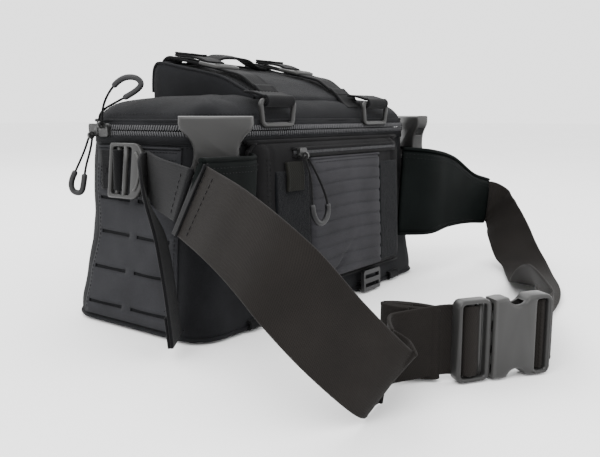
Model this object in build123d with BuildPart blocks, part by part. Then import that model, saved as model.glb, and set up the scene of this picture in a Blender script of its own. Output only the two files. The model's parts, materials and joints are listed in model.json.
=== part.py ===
"""Waist pack: a zipped, padded bag with a hinged lid, a hip belt and its buckles.

Frame: X is the pack's width, -Y is the wearer's side, +Z is up. The origin is the centre of
the base, on the surface that the pack stands on. All sizes are in millimetres.
"""
from build123d import *
from math import radians, tan
import os

os.makedirs("parts", exist_ok=True)

# ---- driving sizes -------------------------------------------------------------------------
belt_width = 50.0            # webbing of the hip belt
side_width = 38.0            # webbing of the stabilisers, the shoulder points and the lid
webbing_thick = 2.2

base_width, base_depth = 356.0, 174.0
top_width, top_depth = 318.0, 162.0
zip_height = 166.0           # middle of the main zip
near_radius = 24.0           # plan radius of the corners on the wearer's side
far_radius = 40.0            # plan radius of the corners on the far side
wall = 6.0                   # fabric, foam and lining together
gap = 0.3                    # between pieces of two moving bodies

lid_top = 194.0
hump_half = 84.0             # half the width of the raised pocket on the lid
hump_top = 230.0

# ---- shared shapes -------------------------------------------------------------------------


def finish(piece, name):
    """Label a finished piece and write it."""
    piece.part.label = name
    export_step(piece.part, f"parts/{name}.step")


def outline(height, inset):
    """Plan of the pack at a height, drawn inset from its outer face."""
    share = height / zip_height
    width = base_width + share * (top_width - base_width) - 2 * inset
    depth = base_depth + share * (top_depth - base_depth) - 2 * inset
    with BuildSketch(Plane.XY.offset(height)) as plan:
        Rectangle(width, depth)
        fillet(plan.vertices().sort_by(Axis.Y)[:2], near_radius - inset)
        fillet(plan.vertices().sort_by(Axis.Y)[-2:], far_radius - inset)
    return plan.sketch


def block(low, high, mode=Mode.ADD):
    """Tapered block with the pack's plan between two (height, inset) levels."""
    loft([outline(*low), outline(*high)], mode=mode)


def ring(low, high, thick):
    """Tapered wall between two (height, inset) levels, as thick inwards as given."""
    block(low, high)
    block((low[0], low[1] + thick), (high[0], high[1] + thick), mode=Mode.SUBTRACT)


def keep(x_low, x_high, y_low, y_high):
    """Keep only what stands over a rectangle of the floor."""
    with BuildSketch(Plane.XY) as footprint:
        with Locations(((x_low + x_high) / 2, (y_low + y_high) / 2)):
            Rectangle(x_high - x_low, y_high - y_low)
    extrude(footprint.sketch, amount=2 * hump_top, mode=Mode.INTERSECT)


def band(stations, thick):
    """Flat band ruled through (centre, direction across, width) stations."""
    last = len(stations) - 1
    sections = []
    for index, (centre, across, width) in enumerate(stations):
        before = Vector(*stations[max(index - 1, 0)][0])
        after = Vector(*stations[min(index + 1, last)][0])
        with BuildSketch(Plane(origin=centre, x_dir=across, z_dir=after - before)) as section:
            Rectangle(width, thick)
        sections.append(section.sketch)
    loft(sections, ruled=True)


def plate(plane, x_low, x_high, y_low, y_high, thick, corner=0.0):
    """Flat plate on a plane, standing out of it."""
    with BuildSketch(plane) as face:
        with Locations(((x_low + x_high) / 2, (y_low + y_high) / 2)):
            Rectangle(x_high - x_low, y_high - y_low)
        if corner:
            fillet(face.vertices(), corner)
    extrude(face.sketch, amount=thick)


# Planes that lie on the two visible walls: local x runs to the right as one looks at the
# wall, local y runs up it and local z stands out of it.
back_lean = (top_depth - base_depth) / 2 / zip_height
side_lean = (base_width - top_width) / 2 / zip_height
back_plane = Plane(origin=(0, -base_depth / 2, 0), x_dir=(1, 0, 0), z_dir=(0, -1, -back_lean))
left_plane = Plane(origin=(-base_width / 2, 0, 0), x_dir=(0, -1, 0), z_dir=(-1, 0, side_lean))

# ---- bag shell -----------------------------------------------------------------------------
floor_thick = 5.0
wall_top = zip_height - 1.5
far_share = 38.0             # the far panel starts this far behind the middle
back_share = top_width / 2 - near_radius - 2

with BuildPart() as base_panel:
    block((0, 0), (floor_thick, 0))
finish(base_panel, "base_panel")

with BuildPart() as base_stiffener:
    block((floor_thick, wall + 4), (floor_thick + 2, wall + 4))
finish(base_stiffener, "base_stiffener")

with BuildPart() as back_wall:
    ring((floor_thick, 0), (wall_top, 0), wall)
    keep(-back_share, back_share, -base_depth, 0)
finish(back_wall, "back_wall")

with BuildPart() as side_wall_left:
    ring((floor_thick, 0), (wall_top, 0), wall)
    keep(-base_width, -back_share, -base_depth, far_share)
finish(side_wall_left, "side_wall_left")

with BuildPart() as side_wall_right:
    mirror(side_wall_left.part, about=Plane.YZ)
finish(side_wall_right, "side_wall_right")

with BuildPart() as outer_panel:
    ring((floor_thick, 0), (wall_top, 0), wall)
    keep(-base_width, base_width, far_share, base_depth)
finish(outer_panel, "outer_panel")

foam_thick = 5.0
with BuildPart() as back_foam:
    ring((floor_thick + 5, wall), (150, wall), foam_thick)
    keep(-back_share + 12, back_share - 12, -base_depth, -foam_thick - wall)
finish(back_foam, "back_foam")

# ---- slotted load panels -------------------------------------------------------------------
laminate = 1.6
panel_low, panel_high = 7.0, 152.0
slot_rows = [18.0, 48.0, 78.0, 108.0]
slot_length, slot_height, slot_pitch = 40.0, 3.0, 50.0


def slots(plane, columns):
    """Rows of webbing slots cut through the laminate."""
    spots = [(column, row) for row in slot_rows for column in columns]
    with BuildSketch(plane.offset(-laminate)) as cut:
        with Locations(*spots):
            SlotOverall(slot_length, slot_height)
    extrude(cut.sketch, amount=4 * laminate, mode=Mode.SUBTRACT)


with BuildPart() as molle_panel_left:
    ring((panel_low, -laminate), (panel_high, -laminate), laminate)
    keep(-base_width, -back_share, -far_share - 16, far_share + 12)
    slots(left_plane, (-slot_pitch / 2, slot_pitch / 2))
finish(molle_panel_left, "molle_panel_left")

with BuildPart() as molle_panel_right:
    mirror(molle_panel_left.part, about=Plane.YZ)
finish(molle_panel_right, "molle_panel_right")

front_plane = Plane(
    origin=(0, base_depth / 2, 0), x_dir=(-1, 0, 0), z_dir=(0, 1, -back_lean))
with BuildPart() as molle_panel_front:
    ring((panel_low, -laminate), (panel_high, -laminate), laminate)
    keep(-base_width, base_width, far_share + 12, base_depth)
    slots(front_plane, [slot_pitch * step for step in (-2, -1, 0, 1, 2)])
finish(molle_panel_front, "molle_panel_front")

# ---- wearer's side: pad, loop strips, pocket ------------------------------------------------
pad_half = 120.0
pad_low, pad_high = 24.0, 156.0
pad_thick = 12.0
strip_thick = 1.5
strip_low = 30.0
pocket_left, pocket_right = -47.0, 72.0
pocket_low, pocket_high = 28.0, 139.0
pocket_thick = 9.0

with BuildPart() as back_pad:
    plate(back_plane, -pad_half, pad_half, pad_low, pad_high, pad_thick, corner=14)
    fillet(back_pad.faces().sort_by(Axis.Y)[0].edges(), 4)
finish(back_pad, "back_pad")

pad_face = back_plane.offset(pad_thick)
with BuildPart() as loop_strip_left:
    plate(pad_face, -96, pocket_left - 1, strip_low, 132, strip_thick, corner=2)
finish(loop_strip_left, "loop_strip_left")

with BuildPart() as loop_strip_right:
    plate(pad_face, pocket_right + 1, 110, strip_low, 132, strip_thick, corner=2)
finish(loop_strip_right, "loop_strip_right")

with BuildPart() as pocket_panel:
    plate(pad_face, pocket_left, pocket_right, pocket_low, pocket_high, pocket_thick, corner=4)
    fillet(pocket_panel.faces().sort_by(Axis.Y)[0].edges(), 6)
finish(pocket_panel, "pocket_panel")

with BuildPart() as woven_tab:
    plate(pad_face.offset(strip_thick), -84, -60, 114, 139, 2, corner=2)
finish(woven_tab, "woven_tab")

pocket_zip_row = 146.5
with BuildPart() as pocket_zip:
    plate(pad_face, -70, 104, pocket_zip_row - 3.4, pocket_zip_row + 3.4, 0.8)
    plate(pad_face, -70, 104, pocket_zip_row - 2, pocket_zip_row + 2, 2.2)
finish(pocket_zip, "pocket_zip")

# ---- main zip ------------------------------------------------------------------------------
tape_thick = 0.8
coil_half = 2.7              # half the height of the closed coil
zip_end = far_share + 20     # the zip stops part of the way round the far corners

with BuildPart() as zip_chain_lower:
    ring((157, -tape_thick), (zip_height - 0.2, -tape_thick), tape_thick)
    ring((zip_height - coil_half, -3), (zip_height - 0.2, -3), 3 - tape_thick / 2)
    keep(-base_width, base_width, -base_depth, zip_end)
finish(zip_chain_lower, "zip_chain_lower")

# ---- lid -----------------------------------------------------------------------------------
lid_low = zip_height + 0.2
lid_inset = 5.0
lid_wall = 4.0
lid_round = 12.0
tape_inset = lid_inset * (175 - lid_low) / (lid_top - lid_low)

with BuildPart() as lid_panel:
    block((lid_low, 0), (lid_top, lid_inset))
    fillet(lid_panel.faces().sort_by(Axis.Z)[-1].edges(), lid_round)
    block((lid_low, lid_wall), (lid_top - lid_wall, lid_inset + lid_wall + 4), Mode.SUBTRACT)
finish(lid_panel, "lid_panel")

hump_wall = 3.0
hump_profile = [
    (-61, lid_top), (-52, lid_top + 5), (-20, lid_top + 20), (20, lid_top + 28.5),
    (56, hump_top), (64, hump_top - 6), (66, lid_top)]
side_plane = Plane(origin=(0, 0, 0), x_dir=(0, 1, 0), z_dir=(1, 0, 0))

with BuildPart() as lid_hump:
    with BuildSketch(side_plane.offset(-hump_half)) as profile:
        with BuildLine():
            Polyline(*hump_profile, close=True)
        make_face()
    extrude(amount=2 * hump_half)
    fillet(lid_hump.edges().filter_by(Axis.X).group_by(Axis.Z)[-1], 3)
    with BuildSketch(side_plane.offset(-hump_half + hump_wall)):
        with BuildLine():
            Polyline(
                (-50, lid_top - 1), (-49, lid_top + 2), (-19, lid_top + 16.5),
                (20, lid_top + 25), (55, hump_top - 4), (60, hump_top - 9),
                (62, lid_top - 1), close=True)
        make_face()
    extrude(amount=2 * (hump_half - hump_wall), mode=Mode.SUBTRACT)
finish(lid_hump, "lid_hump")

with BuildPart() as zip_chain_upper:
    ring((lid_low, -tape_thick), (175, tape_inset - tape_thick), tape_thick)
    ring((lid_low, -3), (zip_height + coil_half, -3), 3 - tape_thick / 2)
    keep(-base_width, base_width, -base_depth, zip_end)
finish(zip_chain_upper, "zip_chain_upper")

# The lid turns on the fabric of the far panel, along its top edge.
with BuildPart() as lid_hinge_tape:
    plate(front_plane, -100, 100, 154, wall_top - 0.5, 1.2)
finish(lid_hinge_tape, "lid_hinge_tape")

# ---- straps on the lid ---------------------------------------------------------------------
strap_x = 80.0               # the two lid straps and their rings stand this far out
lid_strap_width = 25.0
handle_y = 40.0


def hump_height(y):
    """Height of the raised pocket's top at a place across the pack."""
    for (y_low, z_low), (y_high, z_high) in zip(hump_profile[:4], hump_profile[1:5]):
        if y_low <= y <= y_high:
            return z_low + (z_high - z_low) * (y - y_low) / (y_high - y_low)
    return lid_top


strap_inner = strap_x - lid_strap_width / 2 - 6
strap_line = [-50, -20, 20, 50]


def lid_strap(side):
    """Strap over the raised pocket, lifted clear of it, along Y."""
    middle = side * (strap_inner - 2)
    band([((middle, y, hump_height(y) + 2.6), (1, 0, 0), lid_strap_width)
          for y in strap_line], webbing_thick)


with BuildPart() as lid_strap_left:
    lid_strap(-1)
finish(lid_strap_left, "lid_strap_left")

with BuildPart() as lid_strap_right:
    lid_strap(1)
finish(lid_strap_right, "lid_strap_right")

adjuster_plane = Plane(
    origin=(-(strap_inner - 2), 0, hump_height(0) + 4.2), x_dir=(1, 0, 0), z_dir=(0, -0.21, 1))


def adjuster(plane):
    """Three-bar slide: a frame with two webbing windows."""
    with BuildSketch(plane) as frame:
        Rectangle(31, 26)
        fillet(frame.vertices(), 3)
        with GridLocations(0, 10.5, 1, 2):
            SlotOverall(25, 5, mode=Mode.SUBTRACT)
    extrude(frame.sketch, amount=3)


with BuildPart() as strap_adjuster_left:
    adjuster(adjuster_plane)
finish(strap_adjuster_left, "strap_adjuster_left")

with BuildPart() as strap_adjuster_right:
    mirror(strap_adjuster_left.part, about=Plane.YZ)
finish(strap_adjuster_right, "strap_adjuster_right")

handle_half = 46.0
handle_rise = 8.0
handle_base = hump_height(handle_y) + 1.7
handle_line = [(-handle_half, 0), (-handle_half + 14, 0), (-20, handle_rise),
               (20, handle_rise), (handle_half - 14, 0), (handle_half, 0)]
with BuildPart() as lid_handle:
    band([((x, handle_y, handle_base + rise), (0, 1, 0.2), 20.0)
          for x, rise in handle_line], webbing_thick)
finish(lid_handle, "lid_handle")

# Rings: a rectangular wire hung from a folded tab at the lid's edge.
ring_y = -top_depth / 2 - 4.5
ring_z = lid_top - 3.5
ring_wire = 4.5
ring_width, ring_drop = 50.0, 20.0
tab_clear = ring_wire / 2 + gap

with BuildPart() as ring_tabs:
    for side in (-1, 1):
        tab_plane = Plane(
            origin=(side * strap_x - side_width / 2, ring_y, ring_z),
            x_dir=(0, 1, 0), z_dir=(1, 0, 0))
        with BuildSketch(tab_plane):
            Circle(tab_clear + webbing_thick)
            Circle(tab_clear, mode=Mode.SUBTRACT)
            with Locations((tab_clear + 5.5, tab_clear + webbing_thick / 2)):
                Rectangle(11, webbing_thick)
        extrude(amount=side_width)
    block((lid_low, -0.1), (lid_top, lid_inset - 0.1), Mode.SUBTRACT)
finish(ring_tabs, "ring_tabs")


def hang_ring(x):
    """Closed rectangular ring whose top bar lies in the tab."""
    with BuildLine(Plane(origin=(x, ring_y, ring_z), x_dir=(1, 0, 0), z_dir=(0, -1, 0))) as path:
        half = ring_width / 2 - ring_wire / 2
        corners = [(-half, 0), (half, 0), (half - 3, -ring_drop), (-half + 3, -ring_drop)]
        FilletPolyline(*corners, radius=4, close=True)
    with BuildSketch(Plane(origin=path.line @ 0, z_dir=path.line % 0)) as wire:
        Circle(ring_wire / 2)
    sweep(wire.sketch, path=path.line)


with BuildPart() as ring_left:
    hang_ring(-strap_x)
finish(ring_left, "ring_left")

with BuildPart() as ring_right:
    hang_ring(strap_x)
finish(ring_right, "ring_right")

# ---- hip belt: wings, stabilisers, locks -----------------------------------------------------
wing_root_y = -base_depth / 2 - 6
left_seam = (-226.0, -128.5, 123.7)
seam_across = (0.37, -0.14, 0.92)
right_end = (290.0, -124.0, 73.0)

with BuildPart() as wing_left:
    band([((-pad_half - 4, wing_root_y, 110), (0, 0, 1), 74),
          ((-152, -115, 112), (0.1, -0.05, 1), 70),
          (left_seam, seam_across, belt_width + 2)], 6)
finish(wing_left, "wing_left")

with BuildPart() as wing_right:
    band([((pad_half + 4, wing_root_y, 100), (0, 0, 1), 86),
          ((152, -115, 98), (0, 0, 1), 82),
          ((195, -117, 92), (0, 0, 1), 74),
          ((250, -119, 80), (-0.02, 0, 1), 58),
          (right_end, (-0.05, 0, 1), belt_width + 2)], 6)
finish(wing_right, "wing_right")

lock_height = 133.0
lock_out = 2.5               # how far the lock stands off the slotted panel
lock_far, lock_near = -22.0, 22.0     # local x of its two ends

with BuildPart() as lock_anchor_left:
    plate(left_plane.offset(laminate + 0.1), -42, lock_far + 2.5, lock_height - 17,
          lock_height + 17, lock_out + 1.5)
finish(lock_anchor_left, "lock_anchor_left")

with BuildPart() as lock_anchor_right:
    mirror(lock_anchor_left.part, about=Plane.YZ)
finish(lock_anchor_right, "lock_anchor_right")

lock_plane = left_plane.offset(laminate + lock_out + 2.2)
with BuildPart() as ladder_lock_left:
    with BuildSketch(lock_plane) as lock:
        with Locations((0, lock_height)):
            Rectangle(lock_near - lock_far, side_width + 8)
        fillet(lock.vertices().sort_by(Axis.Y)[:2], 12)
        with Locations((-12, lock_height), (4, lock_height)):
            Rectangle(8, side_width + 1, mode=Mode.SUBTRACT)
    extrude(amount=5)
finish(ladder_lock_left, "ladder_lock_left")

with BuildPart() as ladder_lock_right:
    mirror(ladder_lock_left.part, about=Plane.YZ)
finish(ladder_lock_right, "ladder_lock_right")

with BuildPart() as stabilizer_strap_left:
    band([((-172.5, -25, 131), (0, 0, 1), side_width),
          ((-221.5, -118, 125), (0.2, -0.1, 1), side_width)], webbing_thick)
finish(stabilizer_strap_left, "stabilizer_strap_left")

with BuildPart() as stabilizer_strap_right:
    band([((174.5, -26, 131), (0, 0, 1), side_width),
          ((284, -114, 80), (-0.05, 0, 1), side_width)], webbing_thick)
finish(stabilizer_strap_right, "stabilizer_strap_right")

left_tail_line = [
    ((-198.5, -54.5, 106), (-0.65, -0.45, 0.5), side_width),
    ((-200, -67, 88), (-0.8, -0.55, 0.15), side_width),
    ((-200, -74, 52), (-0.8, -0.6, 0), side_width),
    ((-197, -79, 9), (-0.8, -0.6, 0), side_width)]
with BuildPart() as strap_tail_left:
    band(left_tail_line, webbing_thick)
finish(strap_tail_left, "strap_tail_left")

right_tail_line = [
    ((187, -25, 103), (0, -1, 0), side_width),
    ((193, -26, 56), (0.1, -1, 0), side_width),
    ((189, -30, 9), (0.1, -1, 0), side_width)]
with BuildPart() as strap_tail_right:
    band(right_tail_line, webbing_thick)
finish(strap_tail_right, "strap_tail_right")

# ---- hip belt: webbing ---------------------------------------------------------------------
belt_left_line = [
    ((-226.6, -131, 123.2), seam_across, belt_width),
    ((-248, -182, 112), (0.36, -0.20, 0.91), belt_width),
    ((-262, -231, 92), (0.40, -0.28, 0.87), belt_width),
    ((-243, -254, 58), (0.47, -0.38, 0.80), belt_width),
    ((-213, -268, 26), (0.50, -0.44, 0.74), belt_width),
    ((-198, -264, 24), (0.38, -0.36, 0.85), belt_width),
    ((-188, -256, 25.5), (0.10, -0.10, 1), belt_width)]
with BuildPart() as belt_webbing_left:
    band(belt_left_line, webbing_thick)
finish(belt_webbing_left, "belt_webbing_left")

belt_right_line = [
    ((293, -127.5, 72), (-0.05, 0, 1), belt_width),
    ((287.5, -146, 56), (0.5, -0.1, 0.85), belt_width),
    ((259, -173.5, 30), (0.62, -0.38, 0.68), belt_width),
    ((240, -193, 11), (0.75, -0.6, 0.25), belt_width),
    ((205, -211, 5), (0.5, -0.85, 0.05), belt_width),
    ((150, -235, 8), (0.35, -0.93, -0.1), belt_width),
    ((60, -268, 25.5), (0.05, -0.4, -0.83), belt_width),
    ((-18, -298, 28), (0, 0, -1), belt_width),
    ((-52, -314, 29), (0, 0, -1), belt_width)]
with BuildPart() as belt_webbing_right:
    band(belt_right_line, webbing_thick)
finish(belt_webbing_right, "belt_webbing_right")

# ---- side-release buckles ------------------------------------------------------------------


def buckle_body(plane, profile, thick, socket_depth, bar_width):
    """Socket half: a flat box, open at local x = 0, through (along, half width) points."""
    length, widest = profile[-1][0], max(half for along, half in profile)
    with BuildSketch(plane) as shape:
        with BuildLine():
            Polyline(*profile, *[(along, -half) for along, half in reversed(profile)], close=True)
        make_face()
    extrude(shape.sketch, amount=thick / 2, both=True)
    with BuildSketch(plane) as window:
        with Locations((length - 8, 0)):
            SlotOverall(bar_width, 7, rotation=90)
    extrude(window.sketch, amount=thick, both=True, mode=Mode.SUBTRACT)
    with BuildSketch(plane) as socket:
        with Locations((socket_depth / 2, 0)):
            Rectangle(socket_depth, 2 * widest)
    extrude(socket.sketch, amount=thick / 2 - 2.5, both=True, mode=Mode.SUBTRACT)


buckle_turn = 34.0           # the buckle's line, clockwise from +X
buckle_dir = Vector(1, 0, 0).rotate(Axis.Z, -buckle_turn)
buckle_out = Vector(0, -1, 0).rotate(Axis.Z, -buckle_turn)
buckle_foot = Vector(-127.5, -272.4, 29.0)
male_length, female_length = 27.0, 47.0
buckle_high, buckle_thick = 57.0, 15.0
socket_depth = 26.0
female_profile = [
    (0, buckle_high / 2 - 3), (8, buckle_high / 2 - 3), (8, buckle_high / 2 - 6),
    (19, buckle_high / 2 - 6), (socket_depth, buckle_high / 2),
    (female_length, belt_width / 2 + 3)]

female_plane = Plane(
    origin=buckle_foot + buckle_dir * male_length, x_dir=buckle_dir, z_dir=buckle_out)
male_plane = Plane(origin=buckle_foot, x_dir=buckle_dir, z_dir=buckle_out)

with BuildPart() as belt_buckle_female:
    buckle_body(female_plane, female_profile, buckle_thick, socket_depth, belt_width)
finish(belt_buckle_female, "belt_buckle_female")

tongue = 22.0                # how far the male half reaches into the socket
arm_thick = 5.0
with BuildPart() as belt_buckle_male:
    with BuildSketch(male_plane) as male_frame:
        with Locations((male_length / 2 - gap, 0)):
            Rectangle(male_length - 2 * gap, buckle_high)
        fillet(male_frame.vertices(), 3)
        with Locations((6.5, 0), (15.5, 0)):
            SlotOverall(belt_width, 6, rotation=90, mode=Mode.SUBTRACT)
    extrude(amount=5, both=True)
    with BuildSketch(male_plane):
        with Locations((male_length + tongue / 2 - 1, 0)):
            Rectangle(tongue, 10)
    extrude(amount=3, both=True)
    fillet(belt_buckle_male.edges().filter_by(lambda edge: edge.length > 50), 1)
finish(belt_buckle_male, "belt_buckle_male")

arm_root = 12.0


def release_arm(side):
    """Spring arm of the male half, with its thumb face at the buckle's edge."""
    with BuildSketch(male_plane) as arm:
        with BuildLine():
            Polyline((male_length + 0.4, side * arm_root),
                     (male_length + tongue - 2, side * (arm_root + 1)),
                     (male_length + tongue - 2, side * (buckle_high / 2 - 8)),
                     (male_length + tongue - 8, side * (buckle_high / 2 - 3)),
                     (male_length + 8, side * (buckle_high / 2 - 3)),
                     (male_length + 8, side * (arm_root + 6)),
                     (male_length + 0.4, side * (arm_root + 6)), close=True)
        make_face()
    extrude(arm.sketch, amount=arm_thick / 2 + 1, both=True)


with BuildPart() as release_arm_top:
    release_arm(1)
finish(release_arm_top, "release_arm_top")

with BuildPart() as release_arm_bottom:
    release_arm(-1)
finish(release_arm_bottom, "release_arm_bottom")

roll_far = Vector(-139.0, -222.0, 26.5)
roll_near = Vector(-129.5, -266.0, 26.5)
with BuildPart() as buckle_webbing_roll:
    band([(tuple(roll_near), (0, 0, 1), belt_width),
          (tuple(roll_far), (0, 0, 1), belt_width)], 16)
finish(buckle_webbing_roll, "buckle_webbing_roll")

# ---- shoulder-strap points -----------------------------------------------------------------
shoulder_foot = Vector(-157.0, -87.0, 0)
shoulder_high, shoulder_low = 178.0, 131.0
shoulder_width = 28.0        # window for the shoulder webbing, which is 25 mm wide
neck = shoulder_width / 2 + 3
shoulder_profile = [
    (0, buckle_high / 2), (9, buckle_high / 2), (20, neck + 3), (26, neck),
    (shoulder_high - shoulder_low, neck)]
corner_out = Vector(-0.8, -0.6, 0)
corner_side = Vector(0.6, -0.8, 0)
shoulder_plane = Plane(
    origin=(shoulder_foot.X, shoulder_foot.Y, shoulder_high), x_dir=(0, 0, -1),
    z_dir=tuple(corner_out))

with BuildPart() as shoulder_buckle_left:
    buckle_body(shoulder_plane, shoulder_profile, 13, 20, shoulder_width)
finish(shoulder_buckle_left, "shoulder_buckle_left")

with BuildPart() as shoulder_buckle_right:
    mirror(shoulder_buckle_left.part, about=Plane.YZ)
finish(shoulder_buckle_right, "shoulder_buckle_right")

# Each buckle hangs on a loop of webbing that is sewn to the corner below it.
stub_top, stub_foot = (-153.5, -84.5, 128), (-157.5, -87.0, 96)
with BuildPart() as shoulder_webbing:
    for side in (1, -1):
        across = (side * corner_side.X, corner_side.Y, 0)
        band([((side * x, y, z), across, lid_strap_width)
              for x, y, z in (stub_top, stub_foot)], 3)
finish(shoulder_webbing, "shoulder_webbing")

# ---- lashing straps at the bottom of the wearer's side ----------------------------------------
bottom_x = 58.0
with BuildPart() as bottom_straps:
    for side in (-1, 1):
        plate(back_plane, side * bottom_x - 12.5, side * bottom_x + 12.5, 1.5, 10.5, 8)
        plate(back_plane, side * (pad_half - 4) - 10, side * (pad_half - 4) + 10, 1.5, 10.5, 6)
finish(bottom_straps, "bottom_straps")

with BuildPart() as bottom_locks:
    for side in (-1, 1):
        plate(back_plane.offset(8.4), side * bottom_x - 16, side * bottom_x + 16, 1.5, 23, 4,
              corner=3)
    with BuildSketch(back_plane.offset(8.4)):
        with Locations((-bottom_x, 7.5), (bottom_x, 7.5), (-bottom_x, 16.5), (bottom_x, 16.5)):
            Rectangle(26, 4)
    extrude(amount=4, mode=Mode.SUBTRACT)
finish(bottom_locks, "bottom_locks")

# ---- zip sliders and their cord pulls --------------------------------------------------------
cord_thick = 2.0
sleeve_thick = 5.0
slider_x = -top_width / 2 - 3 - gap      # inner face of the main sliders
slider_thick = 3.4
slider_long, slider_tall = 12.0, 11.0
front_slider_y, rear_slider_y = 37.0, 50.5
bail_out = 3.2


def slider(plane, long, tall, bail_at):
    """Zip slider: a rounded plate with an eye for the cord, standing out of a plane."""
    with BuildSketch(plane) as plan:
        Rectangle(long, tall)
        fillet(plan.vertices(), 2)
    extrude(plan.sketch, amount=slider_thick)
    eye_plane = Plane(
        origin=plane.from_local_coords((0, bail_at, slider_thick + bail_out - 1)),
        x_dir=plane.z_dir, z_dir=plane.x_dir)
    with BuildSketch(eye_plane) as eye:
        Circle(bail_out)
        Circle(cord_thick / 2 + 0.3, mode=Mode.SUBTRACT)
    extrude(eye.sketch, amount=1, both=True)


def corner_radii(route):
    """Largest arc that each corner of a cord's route has room for."""
    points = [Vector(*point) for point in route]
    radii = []
    for before, corner, after in zip(points, points[1:], points[2:]):
        shorter = min((corner - before).length, (after - corner).length)
        turn = (corner - before).get_angle(after - corner)
        radii.append(0.45 * shorter / tan(radians(turn / 2)))
    return radii


def tube(route, thick, name):
    """Round tube along a cord's route: straight runs joined by tangent arcs."""
    radii = corner_radii(route)
    with BuildLine() as path:
        FilletPolyline(*route, radius=radii)
    route_wire = path.wire()
    with BuildSketch(Plane(origin=route_wire @ 0, z_dir=route_wire % 0)) as section:
        Circle(thick / 2)
    sweep(section.sketch, path=route_wire)
    print(name, "length", round(route_wire.length, 1), "radii", [round(r, 1) for r in radii])


def slider_plane(y):
    """Plane on the outer face of the main zip's coil, facing out of the left side."""
    return Plane(origin=(slider_x, y, zip_height), x_dir=(0, -1, 0), z_dir=(-1, 0, 0))


with BuildPart() as slider_front:
    slider(slider_plane(front_slider_y), slider_long, slider_tall, slider_tall / 2 - 1)
finish(slider_front, "slider_front")

with BuildPart() as slider_rear:
    slider(slider_plane(rear_slider_y), slider_long, slider_tall, 1 - slider_tall / 2)
finish(slider_rear, "slider_rear")

pocket_slider_x = -62.0
pocket_slider_out = 2.5
slider_spot = pad_face.from_local_coords((pocket_slider_x, pocket_zip_row, pocket_slider_out))
with BuildPart() as pocket_slider:
    slider(Plane(origin=slider_spot, x_dir=(1, 0, 0), z_dir=pad_face.z_dir), 10, 8, -3)
finish(pocket_slider, "pocket_slider")

# A cord runs through each slider's eye, down one side and back up the other; a rubber sleeve
# covers its fold. Each list starts and ends at the eye, and the sleeve covers its middle.
front_cord_line = [
    (-168.0, 34.9, 170.5), (-167.0, 34.6, 186.0), (-162.3, 29.5, 200.0),
    (-156.0, 21.0, 210.0), (-149.0, 11.5, 210.5), (-145.5, 7.5, 204.5),
    (-149.5, 13.0, 198.0), (-158.5, 24.0, 190.5), (-166.5, 38.8, 182.0), (-168.0, 39.3, 170.5)]
rear_cord_line = [
    (-168.0, 52.8, 161.5), (-171.5, 55.0, 149.0), (-177.0, 59.5, 134.0),
    (-181.5, 64.0, 121.0), (-180.5, 62.5, 112.5), (-176.0, 56.5, 111.5),
    (-174.5, 55.0, 119.5), (-173.0, 53.5, 134.0), (-169.5, 50.0, 149.0), (-168.0, 48.1, 161.5)]
pocket_cord_line = [
    (-64.1, -102.5, 143.0), (-68.5, -112.5, 126.0), (-73.5, -117.0, 109.0),
    (-73.5, -117.5, 96.5), (-66.5, -118.0, 87.0), (-56.5, -118.0, 87.0),
    (-49.5, -117.5, 96.0), (-52.5, -117.0, 109.0), (-58.0, -112.5, 126.0), (-59.9, -102.5, 143.0)]

with BuildPart() as pull_cord_front:
    tube(front_cord_line, cord_thick, "pull_cord_front")
finish(pull_cord_front, "pull_cord_front")

with BuildPart() as pull_sleeve_front:
    tube(front_cord_line[2:-2], sleeve_thick, "pull_sleeve_front")
finish(pull_sleeve_front, "pull_sleeve_front")

with BuildPart() as pull_cord_rear:
    tube(rear_cord_line, cord_thick, "pull_cord_rear")
finish(pull_cord_rear, "pull_cord_rear")

with BuildPart() as pull_sleeve_rear:
    tube(rear_cord_line[2:-2], sleeve_thick, "pull_sleeve_rear")
finish(pull_sleeve_rear, "pull_sleeve_rear")

with BuildPart() as pull_cord_pocket:
    tube(pocket_cord_line, cord_thick, "pull_cord_pocket")
finish(pull_cord_pocket, "pull_cord_pocket")

with BuildPart() as pull_sleeve_pocket:
    tube(pocket_cord_line[2:-2], sleeve_thick, "pull_sleeve_pocket")
finish(pull_sleeve_pocket, "pull_sleeve_pocket")
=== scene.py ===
"""Waist pack: the looks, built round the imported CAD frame.

X is the pack's width, -Y is the wearer's side and +Z is up. Sizes here are in millimetres and
are turned into metres where a mesh is made.
"""
import json
import math

import bpy
import bmesh
from mathutils import Matrix, Vector, noise


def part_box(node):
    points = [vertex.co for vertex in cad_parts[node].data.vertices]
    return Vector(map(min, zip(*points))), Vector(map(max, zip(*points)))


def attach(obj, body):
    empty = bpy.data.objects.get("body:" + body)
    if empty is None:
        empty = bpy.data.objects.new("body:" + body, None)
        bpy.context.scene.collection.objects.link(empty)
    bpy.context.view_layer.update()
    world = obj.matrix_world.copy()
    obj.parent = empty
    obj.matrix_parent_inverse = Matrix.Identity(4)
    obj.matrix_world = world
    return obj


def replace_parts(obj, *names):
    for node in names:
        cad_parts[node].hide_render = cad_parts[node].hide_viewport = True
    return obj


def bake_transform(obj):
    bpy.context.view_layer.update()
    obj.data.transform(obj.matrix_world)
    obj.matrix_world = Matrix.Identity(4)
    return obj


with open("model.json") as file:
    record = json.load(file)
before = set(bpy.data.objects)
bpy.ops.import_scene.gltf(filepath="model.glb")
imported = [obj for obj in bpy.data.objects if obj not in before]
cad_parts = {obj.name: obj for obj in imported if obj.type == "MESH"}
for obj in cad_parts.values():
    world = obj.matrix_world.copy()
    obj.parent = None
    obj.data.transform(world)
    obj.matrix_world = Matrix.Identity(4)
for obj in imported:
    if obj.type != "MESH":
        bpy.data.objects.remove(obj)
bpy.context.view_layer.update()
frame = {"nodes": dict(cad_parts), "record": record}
MM = 0.001


def box_mm(node):
    """Lowest and highest corner of a CAD node, in millimetres."""
    low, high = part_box(node)
    return Vector(low) / MM, Vector(high) / MM


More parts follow.
